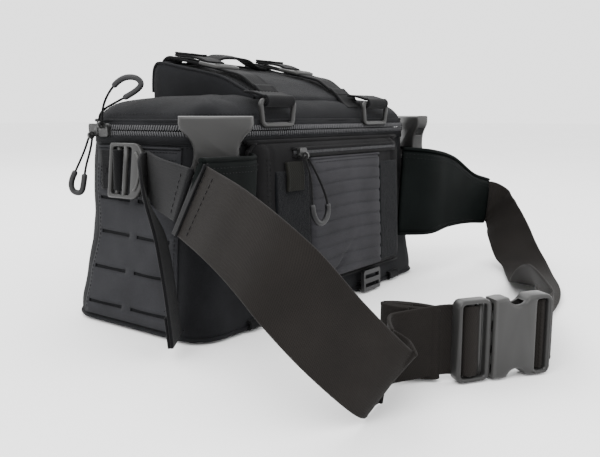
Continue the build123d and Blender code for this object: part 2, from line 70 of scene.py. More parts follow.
def added(name, data):
    """New object in the scene."""
    made = bpy.data.objects.new(name, data)
    bpy.context.scene.collection.objects.link(made)
    return made


def circle(degrees):
    """Cosine and sine of an angle."""
    turn = math.radians(degrees)
    return math.cos(turn), math.sin(turn)


# ---- camera and light ----
camera_data = bpy.data.cameras.new("camera")
camera_data.lens = 42.35
camera_data.sensor_width = 36.0
camera = added("camera", camera_data)
camera.location = (-0.55344, -0.4610, 0.17857)
camera.rotation_euler = (math.radians(80.88), 0, math.radians(-53.37))
bpy.context.scene.camera = camera


def area_light(name, place, target, size, power):
    """Soft square light at a place, aimed at a target."""
    data = bpy.data.lights.new(name, "AREA")
    data.size = size
    data.energy = power
    light = added(name, data)
    light.location = place
    light.rotation_euler = (Vector(target) - Vector(place)).to_track_quat("-Z", "Y").to_euler()


area_light("key_light", (-1.5, -0.5, 1.7), (0, 0, 0.1), 1.4, 34)
area_light("fill_light", (0.4, -1.9, 0.9), (0, -0.1, 0.1), 1.6, 12)
area_light("top_light", (0.3, 1.0, 1.8), (0, 0, 0.1), 1.6, 22)
world = bpy.data.worlds.new("studio")
world.use_nodes = True
sky = world.node_tree.nodes["Background"]
sky.inputs["Color"].default_value = (1, 1, 1, 1)
sky.inputs["Strength"].default_value = 2.3
bpy.context.scene.world = world

# ---- materials ----


class Nodes:
    """Short way to add and link shader nodes."""

    def __init__(self, name, rough, sheen=0.0, gloss=0.04):
        self.material = bpy.data.materials.new(name)
        self.material.use_nodes = True
        self.tree = self.material.node_tree
        self.shader = self.tree.nodes["Principled BSDF"]
        self.shader.inputs["Roughness"].default_value = rough
        self.shader.inputs["Sheen Weight"].default_value = sheen
        self.shader.inputs["Specular IOR Level"].default_value = gloss
        coords = self.tree.nodes.new("ShaderNodeTexCoord")
        self.place = coords.outputs["Object"]
        self.uv = coords.outputs["UV"]

    def link(self, source, socket):
        self.tree.links.new(source, socket)

    def noise(self, scale, detail=2.0, source=None, rough=0.5):
        """Noise of so many features per metre."""
        node = self.tree.nodes.new("ShaderNodeTexNoise")
        node.inputs["Scale"].default_value = scale
        node.inputs["Detail"].default_value = detail
        node.inputs["Roughness"].default_value = rough
        self.link(source or self.place, node.inputs["Vector"])
        return node.outputs["Fac"]

    def maths(self, kind, first, second=None):
        node = self.tree.nodes.new("ShaderNodeMath")
        node.operation = kind
        for socket, value in zip(node.inputs, (first, second)):
            if value is None:
                continue
            if isinstance(value, (int, float)):
                socket.default_value = value
            else:
                self.link(value, socket)
        return node.outputs[0]

    def ripple(self, direction, pitch, source=None):
        """Sine wave along a direction, one wave per pitch in millimetres, from 0 to 1."""
        dot = self.tree.nodes.new("ShaderNodeVectorMath")
        dot.operation = "DOT_PRODUCT"
        self.link(source or self.place, dot.inputs[0])
        turns = 2 * math.pi / (pitch * MM)
        dot.inputs[1].default_value = [turns * part for part in direction]
        wave = self.maths("SINE", dot.outputs["Value"])
        return self.maths("MULTIPLY_ADD", wave, 0.5)

    def ramp(self, value, dark, light, low=0.3, high=0.7):
        """Colour from dark to light as a value goes from low to high."""
        node = self.tree.nodes.new("ShaderNodeValToRGB")
        node.color_ramp.elements[0].position = low
        node.color_ramp.elements[0].color = (*dark, 1)
        node.color_ramp.elements[1].position = high
        node.color_ramp.elements[1].color = (*light, 1)
        self.link(value, node.inputs["Fac"])
        return node.outputs["Color"]

    def mix(self, kind, amount, first, second):
        node = self.tree.nodes.new("ShaderNodeMixRGB")
        node.blend_type = kind
        for socket, value in zip(node.inputs, (amount, first, second)):
            if isinstance(value, float):
                socket.default_value = value
            elif isinstance(value, tuple):
                socket.default_value = (*value, 1)
            else:
                self.link(value, socket)
        return node.outputs[0]

    def bump(self, height, depth, strength=1.0, under=None):
        """Bump whose full height is a depth in millimetres."""
        node = self.tree.nodes.new("ShaderNodeBump")
        node.inputs["Distance"].default_value = depth * MM
        node.inputs["Strength"].default_value = strength
        self.link(height, node.inputs["Height"])
        if under is not None:
            self.link(under, node.inputs["Normal"])
        return node.outputs["Normal"]

    def done(self, colour, normal):
        self.link(colour, self.shader.inputs["Base Color"])
        self.link(normal, self.shader.inputs["Normal"])
        return self.material


def tinted(colour, share):
    """A colour made lighter or darker by a share."""
    return tuple(part * share for part in colour)


def woven(name, colour, pitch, depth, rough=0.85, sheen=0.03, contrast=0.75):
    """Plain-woven cloth, whatever way its surface faces."""
    kit = Nodes(name, rough, sheen)
    threads = kit.maths(
        "MULTIPLY", kit.ripple((1, 0.95, 0.1), pitch), kit.ripple((0.35, -0.35, 1), pitch))
    shade = kit.ramp(kit.noise(28, 3), tinted(colour, contrast), tinted(colour, 1.18))
    speck = kit.ramp(kit.noise(900, 2), (0.82, 0.82, 0.82), (1.0, 1.0, 1.0))
    colour_out = kit.mix("MULTIPLY", 1.0, shade, speck)
    slub = kit.bump(kit.noise(420, 3), depth * 1.2, 0.7)
    return kit.done(colour_out, kit.bump(threads, depth, 0.8, slub))


def webbing(name, colour, rib, depth, rough=0.72, sheen=0.04):
    """Woven webbing with cross ribs, along the piece's own length (its UV's second axis)."""
    kit = Nodes(name, rough, sheen)
    ribs = kit.ripple((0.35 * rib, 1, 0), rib, kit.uv)
    cords = kit.ripple((1, 0, 0), rib * 1.15, kit.uv)
    weave = kit.maths("MAXIMUM", kit.maths("MULTIPLY", ribs, 0.9), kit.maths("MULTIPLY", cords, 0.6))
    wear = kit.ramp(kit.noise(30, 4), tinted(colour, 0.86), tinted(colour, 1.14))
    lines = kit.ramp(weave, (0.72, 0.72, 0.72), (1.0, 1.0, 1.0), 0.2, 0.8)
    colour_out = kit.mix("MULTIPLY", 1.0, wear, lines)
    fuzz = kit.bump(kit.noise(1500, 2), depth * 0.5, 0.4)
    return kit.done(colour_out, kit.bump(weave, depth, 0.9, fuzz))


def plastic(name, colour, rough):
    """Moulded plastic with a fine grain, and a painted highlight on its sharp edges."""
    kit = Nodes(name, rough, gloss=0.3)
    geometry = kit.tree.nodes.new("ShaderNodeNewGeometry")
    # Painted highlight: sharp outer edges, where pointiness is high, are painted up to 2.6 times lighter.
    edges = kit.ramp(geometry.outputs["Pointiness"], (0, 0, 0), (1, 1, 1), 0.52, 0.62)
    cloud = kit.ramp(kit.noise(60, 3), tinted(colour, 0.9), tinted(colour, 1.08))
    colour_out = kit.mix("MIX", edges, cloud, tinted(colour, 2.6))
    return kit.done(colour_out, kit.bump(kit.noise(1800, 2), 0.05, 0.5))


def pile(name, colour):
    """Fuzzy loop tape."""
    kit = Nodes(name, 0.95, 0.06)
    loops = kit.noise(1300, 3, rough=0.7)
    colour_out = kit.ramp(loops, tinted(colour, 0.45), tinted(colour, 1.7), 0.35, 0.68)
    return kit.done(colour_out, kit.bump(loops, 0.9, 1.0, kit.bump(kit.noise(300, 3), 0.5, 0.6)))


def metal(name, colour):
    """Black painted metal with a few rubbed spots."""
    kit = Nodes(name, 0.38, gloss=0.4)
    worn = kit.ramp(kit.noise(350, 3), colour, tinted(colour, 5), 0.55, 0.72)
    return kit.done(worn, kit.bump(kit.noise(900, 2), 0.04, 0.4))


finishes = {
    "pack_fabric": woven("pack_fabric", (0.0092, 0.0094, 0.0104), 0.9, 0.12),
    "laminate": woven("laminate", (0.0200, 0.0202, 0.0222), 0.7, 0.06, 0.8, 0.02, 0.85),
    "stiffener": plastic("stiffener", (0.02, 0.02, 0.02), 0.6),
    "foam": woven("foam", (0.05, 0.05, 0.05), 1.5, 0.2),
    "pad_fabric": woven("pad_fabric", (0.0066, 0.0064, 0.0068), 0.8, 0.1),
    "ribbed_fabric": woven("ribbed_fabric", (0.0240, 0.0236, 0.0262), 1.0, 0.12, 0.82, 0.03, 0.85),
    "loop_pile": pile("loop_pile", (0.0022, 0.0025, 0.0034)),
    "woven_label": webbing("woven_label", (0.0065, 0.0065, 0.0052), 2.4, 0.3),
    "zip": plastic("zip", (0.014, 0.014, 0.015), 0.4),
    "wing_fabric": woven("wing_fabric", (0.0024, 0.0034, 0.0032), 0.8, 0.06, 0.7, 0.0),
    "webbing": webbing("webbing", (0.0040, 0.0040, 0.0045), 1.5, 0.22),
    "belt_webbing": webbing("belt_webbing", (0.0105, 0.0092, 0.0084), 1.25, 0.2, 0.65, 0.02),
    "buckle_plastic": plastic("buckle_plastic", (0.0150, 0.0148, 0.0145), 0.36),
    "slider_metal": metal("slider_metal", (0.012, 0.012, 0.012)),
    "pull_cord": webbing("pull_cord", (0.0060, 0.0060, 0.0063), 0.9, 0.15, 0.75),
    "pull_sleeve": plastic("pull_sleeve", (0.0055, 0.0055, 0.0060), 0.45),
}
thread = webbing("thread", (0.0070, 0.0070, 0.0078), 0.6, 0.05, 0.8)
dark_plastic = plastic("dark_plastic", (0.0045, 0.0045, 0.0048), 0.45)
lining = woven("lining", (0.055, 0.058, 0.062), 0.8, 0.08)
floor_finish = Nodes("floor", 0.9)
floor_material = floor_finish.done(
    floor_finish.ramp(floor_finish.noise(3), (0.93, 0.93, 0.93), (0.95, 0.95, 0.95)),
    floor_finish.bump(floor_finish.noise(300), 0.05, 0.1))

# ---- mesh helpers ----


def merge_points(mesh, gap):
    """Join points nearer than a gap, and face every side outwards."""
    clean = bmesh.new()
    clean.from_mesh(mesh)
    bmesh.ops.remove_doubles(clean, verts=clean.verts, dist=gap)
    bmesh.ops.recalc_face_normals(clean, faces=clean.faces)
    clean.to_mesh(mesh)
    clean.free()


def band_faces(here, there, count):
    """Faces between two rings of points, from the first index of each."""
    faces = []
    for column in range(count):
        beside = (column + 1) % count
        faces.append((here + column, here + beside, there + beside, there + column))
    return faces


def cap_faces(here, there, count):
    """Two flat ends, from the first index of the ring round each."""
    return [tuple(here + column for column in reversed(range(count))),
            tuple(there + column for column in range(count))]


def piece(name, points, faces, body, slot, uvs=None, material=None):
    """Object made from points in millimetres, riding on a body."""
    mesh = bpy.data.meshes.new(name)
    mesh.from_pydata([tuple(Vector(point) * MM) for point in points], [], faces)
    if uvs:
        layer = mesh.uv_layers.new(name="length")
        for loop in mesh.loops:
            layer.data[loop.index].uv = [part * MM for part in uvs[loop.vertex_index]]
    mesh.materials.append(material or finishes[slot])
    mesh.polygons.foreach_set("use_smooth", [True] * len(mesh.polygons))
    merge_points(mesh, 1e-6)
    made = added(name, mesh)
    if body:
        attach(made, body)
    return made


def subdivide(made):
    """Smooth a piece with a subdivision surface."""
    modifier = made.modifiers.new("smooth", "SUBSURF")
    modifier.levels = 1
    modifier.render_levels = 1
    return made


def distances(points):
    """Length along a line of points, at each of them."""
    total = [0.0]
    for before, after in zip(points, points[1:]):
        total.append(total[-1] + (Vector(after) - Vector(before)).length)
    return total


def loft(name, sections, body, slot, closed=False, material=None):
    """Closed cross-sections joined one to the next, with capped ends unless it closes up."""
    count = len(sections[0])
    points = [point for section in sections for point in section]
    runs = distances([section[0] for section in sections])
    rounds = distances(sections[len(sections) // 2])
    uvs = [(rounds[column], run) for run in runs for column in range(count)]
    faces = []
    last = len(sections) if closed else len(sections) - 1
    for row in range(last):
        faces += band_faces(row * count, (row + 1) % len(sections) * count, count)
    if not closed:
        faces += cap_faces(0, len(points) - count, count)
    return piece(name, points, faces, body, slot, uvs, material)


def blend_values(first, second, share):
    return [a + (b - a) * share for a, b in zip(first, second)]


def smooth_rows(rows, steps):
    """Catmull-Rom curve through rows of numbers, in so many steps per span."""
    ends = [blend_values(rows[1], rows[0], 2)] + list(rows) + [blend_values(rows[-2], rows[-1], 2)]
    out = []
    for a, b, c, d in zip(ends, ends[1:], ends[2:], ends[3:]):
        for step in range(steps):
            t = step / steps
            out.append([
                0.5 * (2 * q + (r - p) * t + (2 * p - 5 * q + 4 * r - s) * t * t
                       + (3 * q - p - 3 * r + s) * t ** 3)
                for p, q, r, s in zip(a, b, c, d)])
    out.append(list(rows[-1]))
    return out


def band_frames(line, width, steps):
    """(centre, across, normal, width) along a band's smooth line of (centre, across) stations."""
    rows = [(*station[0], *Vector(station[1]).normalized(), station[2] if len(station) > 2 else width)
            for station in line]
    rows = smooth_rows(rows, steps)
    frames = []
    for index, row in enumerate(rows):
        before, after = rows[max(index - 1, 0)], rows[min(index + 1, len(rows) - 1)]
        along = (Vector(after[:3]) - Vector(before[:3])).normalized()
        across = Vector(row[3:6])
        across = (across - along * across.dot(along)).normalized()
        frames.append((Vector(row[:3]), across, along.cross(across), row[6]))
    return frames


def web_section(centre, across, normal, width, thick):
    """Cross-section of webbing: flat, with a rounded, slightly thicker edge on each side."""
    half, rise = width / 2, thick / 2
    upper = [(-half, 0), (-half + 0.4, 0.8 * rise), (-half + 1.2, 1.15 * rise), (-half + 2.4, 0.9 * rise),
             (-half / 2, rise), (0, rise), (half / 2, rise), (half - 2.4, 0.9 * rise),
             (half - 1.2, 1.15 * rise), (half - 0.4, 0.8 * rise), (half, 0)]
    lower = [(side, -up) for side, up in reversed(upper[1:-1])]
    return [centre + across * side + normal * up for side, up in upper + lower]


def strap(name, line, width, thick, body="pack", slot="webbing", steps=8, node=None):
    """Webbing along a smooth line, which may stand for a CAD node."""
    sections = [web_section(*row, thick) for row in band_frames(line, width, steps)]
    made = loft(name, sections, body, slot)
    if node:
        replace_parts(made, node)
    return made


def tube(name, points, radius, body, slot, sides=8, closed=False):
    """Round tube along points; its radius may be a number or one number per point."""
    points = [Vector(point) for point in points]
    radii = radius if isinstance(radius, list) else [radius] * len(points)
    last = len(points) - 1
    sections = []
    side = None
    for index, point in enumerate(points):
        before = points[index - 1] if index or closed else point
        after = points[(index + 1) % len(points)] if index < last or closed else point
        along = (after - before).normalized()
        if side is None:
            side = along.orthogonal().normalized()
        side = (side - along * side.dot(along)).normalized()
        up = along.cross(side)
        sections.append([
            point + (side * math.cos(turn) + up * math.sin(turn)) * radii[index]
            for turn in (2 * math.pi * corner / sides for corner in range(sides))])
    return loft(name, sections, body, slot, closed)


def stitches(name, lines, body, slot="webbing", length=2.8, space=1.4, radius=0.38):
    """Sewing thread: a row of short, fat spindles along each line of points."""
    points, faces = [], []
    ring = 5
    for line in lines:
        line = [Vector(point) for point in line]
        runs = distances(line)
        start = space
        while start + length < runs[-1]:
            marks = []
            for run in (start, start + length / 2, start + length):
                index = next(i for i, total in enumerate(runs) if total >= run)
                share = (run - runs[index - 1]) / (runs[index] - runs[index - 1])
                marks.append(line[index - 1].lerp(line[index], share))
            along = (marks[2] - marks[0]).normalized()
            side = along.orthogonal().normalized()
            up = along.cross(side)
            first = len(points)
            for mark, size in ((marks[0], 0.35), (marks[1], 1), (marks[2], 0.35)):
                for corner in range(ring):
                    turn = 2 * math.pi * corner / ring
                    points.append(mark + (side * math.cos(turn) + up * math.sin(turn)) * radius * size)
            for row in (first, first + ring):
                faces += band_faces(row, row + ring, ring)
            faces += cap_faces(first, first + 2 * ring, ring)
            start += length + space
    return piece(name, points, faces, body, slot, material=thread)


def final_mesh(made):
    """Mesh of an object as its modifiers and curve settings leave it."""
    return bpy.data.meshes.new_from_object(made.evaluated_get(bpy.context.evaluated_depsgraph_get()))


sharp_angle = math.radians(40)


def plate(name, outline, holes, thick, bevel, place, body, slot):
    """Flat moulded part: an outline with holes, thickened and rounded over at its edges."""
    curve = bpy.data.curves.new(name + "_outline", "CURVE")
    curve.dimensions = "2D"
    curve.fill_mode = "BOTH"
    curve.extrude = (thick / 2 - bevel) * MM
    curve.bevel_depth = bevel * MM
    curve.bevel_resolution = 2
    curve.offset = -bevel * MM
    for loop in [outline] + holes:
        spline = curve.splines.new("POLY")
        spline.points.add(len(loop) - 1)
        spline.use_cyclic_u = True
        for point, (x, y) in zip(spline.points, loop):
            point.co = (x * MM, y * MM, 0, 1)
    source = added(name + "_outline", curve)
    mesh = final_mesh(source)
    bpy.data.objects.remove(source)
    mesh.name = name
    merge_points(mesh, 2e-6)
    mesh.transform(place)
    mesh.materials.clear()
    mesh.materials.append(finishes[slot])
    mesh.polygons.foreach_set("use_smooth", [True] * len(mesh.polygons))
    mesh.set_sharp_from_angle(angle=sharp_angle)
    made = added(name, mesh)
    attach(made, body)
    return made


def placed(origin, x_dir, z_dir):
    """Matrix of a plane given in millimetres, by its own x and the way it faces."""
    z_axis = Vector(z_dir).normalized()
    x_axis = Vector(x_dir)
    x_axis = (x_axis - z_axis * x_axis.dot(z_axis)).normalized()
    y_axis = z_axis.cross(x_axis)
    turn = Matrix((x_axis, y_axis, z_axis)).transposed().to_4x4()
    return Matrix.Translation(Vector(origin) * MM) @ turn


def rounded(x_low, x_high, y_low, y_high, radius, steps=5):
    """Rectangle with round corners, as a loop of points."""
    loop = []
    corners = [(x_high - radius, y_high - radius, 0), (x_low + radius, y_high - radius, 90),
               (x_low + radius, y_low + radius, 180), (x_high - radius, y_low + radius, 270)]
    for x, y, start in corners:
        for step in range(steps + 1):
            way, out = circle(start + 90 * step / steps)
            loop.append((x + radius * way, y + radius * out))
    return loop


def arc(x, y, radius, start, end, step=15):
    """Points along an arc between two angles."""
    count = max(2, round(abs(end - start) / step))
    ways = [circle(start + (end - start) * index / count) for index in range(count + 1)]
    return [(x + radius * way, y + radius * out) for way, out in ways]


def mirrored(half_loop):
    """Whole outline from its upper half."""
    return half_loop + [(x, -y) for x, y in reversed(half_loop)]


def flat(points, across=(1, 0, 0)):
    """Stations of a strap that keeps one direction across."""
    return [(point, across) for point in points]


# ---- the bag's skin ----
lid_low, lid_high = box_mm("lid_panel")
base_high = box_mm("base_panel")[1]
base_half = Vector((base_high.x, base_high.y))
top_half = Vector((lid_high.x, lid_high.y))
near_radius, far_radius = 24.0, 40.0
zip_height = 166.0
wall_top = box_mm("back_wall")[1].z
lid_edge = lid_low.z
lid_top = lid_high.z


def corners_at(half):
    """Centre, radius and first outward direction of the four corner arcs of a plan."""
    x_near, y_near = half.x - near_radius, half.y - near_radius
    x_far, y_far = half.x - far_radius, half.y - far_radius
    return [(Vector((x_near, -y_near)), near_radius, -90), (Vector((x_far, y_far)), far_radius, 0),
            (Vector((-x_far, y_far)), far_radius, 90), (Vector((-x_near, -y_near)), near_radius, 180)]


def turned(degrees):
    """Direction in plan."""
    return Vector(circle(degrees))


def side_runs():
    """Lengths of each side's straight run and of the corner arc after it, at the zip."""
    corners = corners_at(top_half)
    runs = []
    for index, (centre, radius, turn) in enumerate(corners):
        before, before_radius, _ = corners[index - 1]
        start = before + turned(turn) * before_radius
        runs.append(((centre + turned(turn) * radius - start).length, radius * math.pi / 2))
    return runs


runs = side_runs()
girth = sum(straight + arc for straight, arc in runs)
# Distance round the bag at which each side starts: near, right, far and left.
near_start, right_start, far_start, left_start = [
    sum(straight + arc for straight, arc in runs[:side]) for side in range(4)]


def outline(round_at, half):
    """Point and outward direction at a distance round a plan of the bag."""
    round_at %= girth
    corners = corners_at(half)
    for index, (straight, arc) in enumerate(runs):
        centre, radius, turn = corners[index]
        if round_at <= straight:
            start = corners[index - 1][0] + turned(turn) * corners[index - 1][1]
            end = centre + turned(turn) * radius
            return start.lerp(end, round_at / straight), turned(turn)
        round_at -= straight
        if round_at <= arc:
            facing = turned(turn + 90 * round_at / arc)
            return centre + facing * radius, facing
        round_at -= arc
    return outline(0, half)


def cornerness(round_at):
    """1 in the middle of a corner, falling to 0 in the middle of a side."""
    nearest = min(abs((round_at - start + girth / 2) % girth - girth / 2)
                  for start in (near_start, right_start, far_start, left_start))
    return math.exp(-(nearest / 45) ** 2)


def slack(round_at, z):
    """How far the soft wall stands out of its straight shape, in millimetres."""
    waist = math.exp(-((z - 80) / 36) ** 2)
    foot = math.exp(-((z - 14) / 12) ** 2)
    corner = cornerness(round_at)
    left = math.exp(-(((round_at - left_start + girth / 2) % girth - girth / 2) / 60) ** 2)
    folds = noise.noise(Vector((round_at / 46, z / 30, 3.1))) + 0.5 * noise.noise(
        Vector((round_at / 19, z / 14, 7.7)))
    shown = min(1.0, z / 20, (wall_top + 2 - z) / 12)
    return waist * (2.6 * (1 - corner) - 3.0 * corner - 4.0 * left) + 1.5 * foot + 1.1 * folds * shown


def skin(round_at, z, out=0.0):
    """Point on the bag's wall, or so far outside it."""
    share = z / zip_height
    half = base_half.lerp(top_half, share)
    spot, facing = outline(round_at, half)
    spot = spot + facing * (out + slack(round_at, z))
    return Vector((spot.x, spot.y, z))


def span(low, high, step):
    """Evenly spaced numbers from low to high, about a step apart."""
    count = max(1, round((high - low) / step))
    return [low + (high - low) * index / count for index in range(count + 1)]


def left_at(y):
    """Distance round the bag of a point on the left side, by its y."""
    return left_start + (top_half.y - far_radius) - y


def right_at(y):
    """Distance round the bag of a point on the right side, by its y."""
    return right_start + y + (top_half.y - near_radius)


def shell(name, outer, inner, body, slot, inner_finish):
    """Open tub: outer rows from its foot up, inner rows back down, both of them closed rings."""
    count = len(outer[0])
    rows = outer + inner
    points = [point for row in rows for point in row]
    faces = []
    for row in range(len(rows) - 1):
        faces += band_faces(row * count, (row + 1) * count, count)
    for edge in (0, len(rows) - 1):
        ring = points[edge * count:(edge + 1) * count]
        middle = sum(ring, Vector()) / count
        before = edge * count
        for share in (0.66, 0.33):
            first = len(points)
            points += [middle.lerp(point, share) for point in ring]
            faces += band_faces(before, first, count)
            before = first
        points.append(middle)
        faces += [(before + column, before + (column + 1) % count, len(points) - 1)
                  for column in range(count)]
    made = piece(name, points, faces, body, slot)
    made.data.materials.append(inner_finish)
    first_inner, last_row = len(outer) * count, (len(rows) - 1) * count
    for index, face in enumerate(made.data.polygons):
        lined = first_inner <= index < last_row or index >= last_row + 3 * count
        face.material_index = 1 if lined else 0
    return made


around = span(0, girth, 5)[:-1]
wall_thick = 12.0
outer_rows = [[skin(d, 0, -8) for d in around], [skin(d, 0.8, -3.5) for d in around],
              [skin(d, 3, -1) for d in around]]
outer_rows += [[skin(d, z) for d in around] for z in span(7, wall_top - 1, 6)]
outer_rows += [[skin(d, wall_top, -1) for d in around]]
inner_rows = [[skin(d, wall_top, -3) for d in around], [skin(d, wall_top - 3, -4) for d in around]]
inner_rows += [[skin(d, z, -wall_thick) for d in around] for z in span(wall_top - 14, 14, -10)]
inner_rows += [[skin(d, 9.0, -wall_thick - 4) for d in around]]
bag_body = shell("bag_body", outer_rows, inner_rows, "pack", "pack_fabric", lining)
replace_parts(bag_body, "base_panel", "back_wall", "side_wall_left", "side_wall_right", "outer_panel")
subdivide(bag_body)


def skin_line(start, end, z, out):
    """Line round the bag's wall at one height."""
    return [skin(d, z, out) for d in span(start, end, 4)]


# Piping along the foot, and the seam under the zip's tape.
tube("foot_piping", skin_line(0, girth, 3.4, -0.4)[:-1], 1.7, "pack", "pack_fabric", closed=True)
seam_start, seam_end = left_at(top_half.y - far_radius) - 8, right_at(top_half.y - far_radius) + 8
tube("body_seam", skin_line(seam_start - girth, seam_end, 155.5, 0.2), 0.9, "pack", "pack_fabric",
     sides=6)
stitches("body_stitches", [skin_line(seam_start - girth, seam_end, 153, 0.4)], "pack", "pack_fabric",
         radius=0.3)

# ---- slotted load panels ----
slot_rows = (18.0, 48.0, 78.0, 108.0)
slot_length, slot_height = 40.0, 3.0
hem_top = 152.0


def load_panel(name, node, start, end, columns):
    """Laminate sheet on the bag's skin, cut through by rows of slots that gape a little."""
    edges = {round(start, 3), round(end, 3)}
    for column in columns:
        ends = (column - slot_length / 2, column + slot_length / 2)
        edges |= {round(e, 3) for e in span(*ends, 4)} | {round(ends[0] + 1, 3), round(ends[1] - 1, 3)}
    gaps = sorted(edges)
    for before, after in zip(gaps, gaps[1:]):
        edges |= {round(e, 3) for e in span(before, after, 6)}
    ds = sorted(edges)
    zs = sorted({7.0, hem_top} | {round(row + part * slot_height / 2, 3)
                                  for row in slot_rows for part in (-3, -1, 1, 3)}
                | {round(z, 3) for z in span(7, hem_top, 7.25)
                   if all(abs(z - row) > 5 for row in slot_rows)})

    def lift(d, z):
        """Stand-off of the sheet: more at a slot's lips, and at its hem."""
        row = min(slot_rows, key=lambda height: abs(height - z))
        column = min(columns, key=lambda middle: abs(middle - d))
        along = max(0.0, 1 - (abs(d - column) / (slot_length / 2)) ** 2)
        lip = math.exp(-((z - row) / 5) ** 2) * along
        side = 1 if z > row else -0.35
        return 1.5 + 1.3 * lip * side

    points = [skin(d, z, lift(d, z)) for z in zs for d in ds]
    count = len(ds)
    faces = []
    for row, (z_low, z_high) in enumerate(zip(zs, zs[1:])):
        slot_row = any(abs((z_low + z_high) / 2 - height) < 0.5 for height in slot_rows)
        for column, (d_low, d_high) in enumerate(zip(ds, ds[1:])):
            middle = (d_low + d_high) / 2
            if slot_row and any(abs(middle - c) < slot_length / 2 for c in columns):
                continue
            first = row * count + column
            faces.append((first, first + 1, first + count + 1, first + count))
    made = piece(name, points, faces, "pack", "laminate")
    thicken = bmesh.new()
    thicken.from_mesh(made.data)
    bmesh.ops.recalc_face_normals(thicken, faces=thicken.faces)
    outward = sum(face.normal.dot(face.calc_center_median().to_2d().to_3d()) for face in thicken.faces)
    if outward < 0:
        bmesh.ops.reverse_faces(thicken, faces=thicken.faces)
    bmesh.ops.solidify(thicken, geom=thicken.faces[:], thickness=1.3 * MM)
    thicken.to_mesh(made.data)
    thicken.free()
    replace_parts(made, node)
    lines = [[skin(d, z, lift(d, z) + 0.3) for d in span(start + 3, end - 3, 4)]
             for z in (hem_top - 3, hem_top - 9)]
    lines += [[skin(d, z, 1.9) for z in span(10, hem_top - 12, 5)] for d in (start + 3, end - 3)]
    stitches(name + "_stitches", lines, "pack", "laminate", length=2.4, space=1.2, radius=0.32)
    tube(name + "_hem", skin_line(start, end, hem_top, 1.6), 1.1, "pack", "laminate", sides=6)


load_panel("load_panel_left", "molle_panel_left", left_at(50), left_at(-53), [left_at(25), left_at(-25)])
load_panel("load_panel_right", "molle_panel_right", right_at(-53), right_at(50),
           [right_at(-25), right_at(25)])
far_middle = far_start + runs[2][0] / 2
load_panel("load_panel_front", "molle_panel_front", far_middle - 138, far_middle + 138,
           [far_middle + 50 * step for step in (-2, -1, 0, 1, 2)])

# ---- main zip ----
zip_start, zip_end = left_at(58) - girth, right_at(58)
tooth_pitch = 2.9


def facing_at(round_at):
    """Outward direction at a distance round the zip."""
    return outline(round_at, top_half)[1].to_3d()


def zip_tape(name, node, body, low, high, out_low, out_high):
    """Half of the zip's tape: a thin cloth band along the opening."""
    sections = []
    for d in span(zip_start, zip_end, 4):
        inner, outer = skin(d, low, out_low), skin(d, high, out_high)
        facing = facing_at(d)
        sections.append([inner, inner + facing * 1.1, outer + facing * 1.1, outer])
    made = loft(name, sections, body, "zip", material=finishes["pack_fabric"])
    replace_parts(made, node)
    return made


def zip_teeth(name, body, side):
    """Row of coil teeth: rounded bars that lean along the zip."""
    points, faces = [], []
    sides = 6
    for index in range(round((zip_end - zip_start) / tooth_pitch)):
        d = zip_start + tooth_pitch * (index + (0.5 if side > 0 else 0))
        facing = facing_at(d)
        along = facing.cross(Vector((0, 0, 1)))
        foot = skin(d, zip_height, 2.3) + Vector((0, 0, side * 0.3))
        lean = Vector((0, 0, side * 4.4)) - along * 0.7
        first = len(points)
        for share, size in ((0, 0.7), (0.12, 1), (0.85, 1), (1, 0.55)):
            spot = foot + lean * share - facing * (0.9 * share)
            for turn in range(sides):
                angle = math.pi * turn / 3
                points.append(spot + along * (0.85 * size * math.cos(angle))
                              + facing * (1.1 * size * math.sin(angle)))
        for ring in range(3):
            faces += band_faces(first + sides * ring, first + sides * (ring + 1), sides)
        faces += cap_faces(first, first + 3 * sides, sides)
    return piece(name, points, faces, body, "zip")


zip_tape("zip_tape_lower", "zip_chain_lower", "pack", 156, zip_height - 0.8, 0.3, 0.5)
zip_tape("zip_tape_upper", "zip_chain_upper", "lid", zip_height + 0.8, 175, 0.5, 0.2)
flap_rows = [[skin(d, z, out) for z, out in ((159, -5.8), (159, -6.8), (171.5, -7.4), (171.5, -6.4))]
             for d in span(left_at(66) - girth, right_at(66), 5)]
loft("zip_flap", flap_rows, "pack", "pack_fabric")
zip_teeth("zip_teeth_lower", "pack", -1)
zip_teeth("zip_teeth_upper", "lid", 1)

# ---- lid ----


def lid_point(round_at, inset, z):
    """Point on the lid, so far in from its edge."""
    plan, way = outline(round_at, top_half)
    spot = plan - way * inset
    # Too far in for the near corners' arcs, the plan shrinks as a whole.
    if inset >= near_radius + 6:
        half = top_half - Vector((inset, inset))
        spot = Vector((plan.x * (half.x / top_half.x), plan.y * (half.y / top_half.y)))
    return Vector((spot.x, spot.y, z))


def lid_height(x, y):
    """Height of the lid's cloth: a low dome, with a fold that runs off the raised pocket."""
    dome = 1 - (abs(x) / top_half.x) ** 4
    far_fall = max(0.0, (y - 10) / top_half.y)
    height = lid_top - 2 + 4.5 * dome - 6.5 * far_fall ** 2
    fold = math.exp(-((x + 118 + 0.35 * (y + 60)) / 5) ** 2) * math.exp(-((y + 48) / 26) ** 2)
    height -= 2.6 * fold
    return height + 0.9 * noise.noise(Vector((x / 34, y / 26, 1.7)))


# The lid's soft edge: how far up its height the cloth is, so far in from the rim.
lid_edge_rise = [(0.2, 0.0), (0.2, 0.2), (0.7, 0.34), (2.5, 0.48), (6, 0.62), (11, 0.75),
                 (17, 0.86), (25, 0.94), (36, 0.99), (52, 1.0), (68, 1.0)]


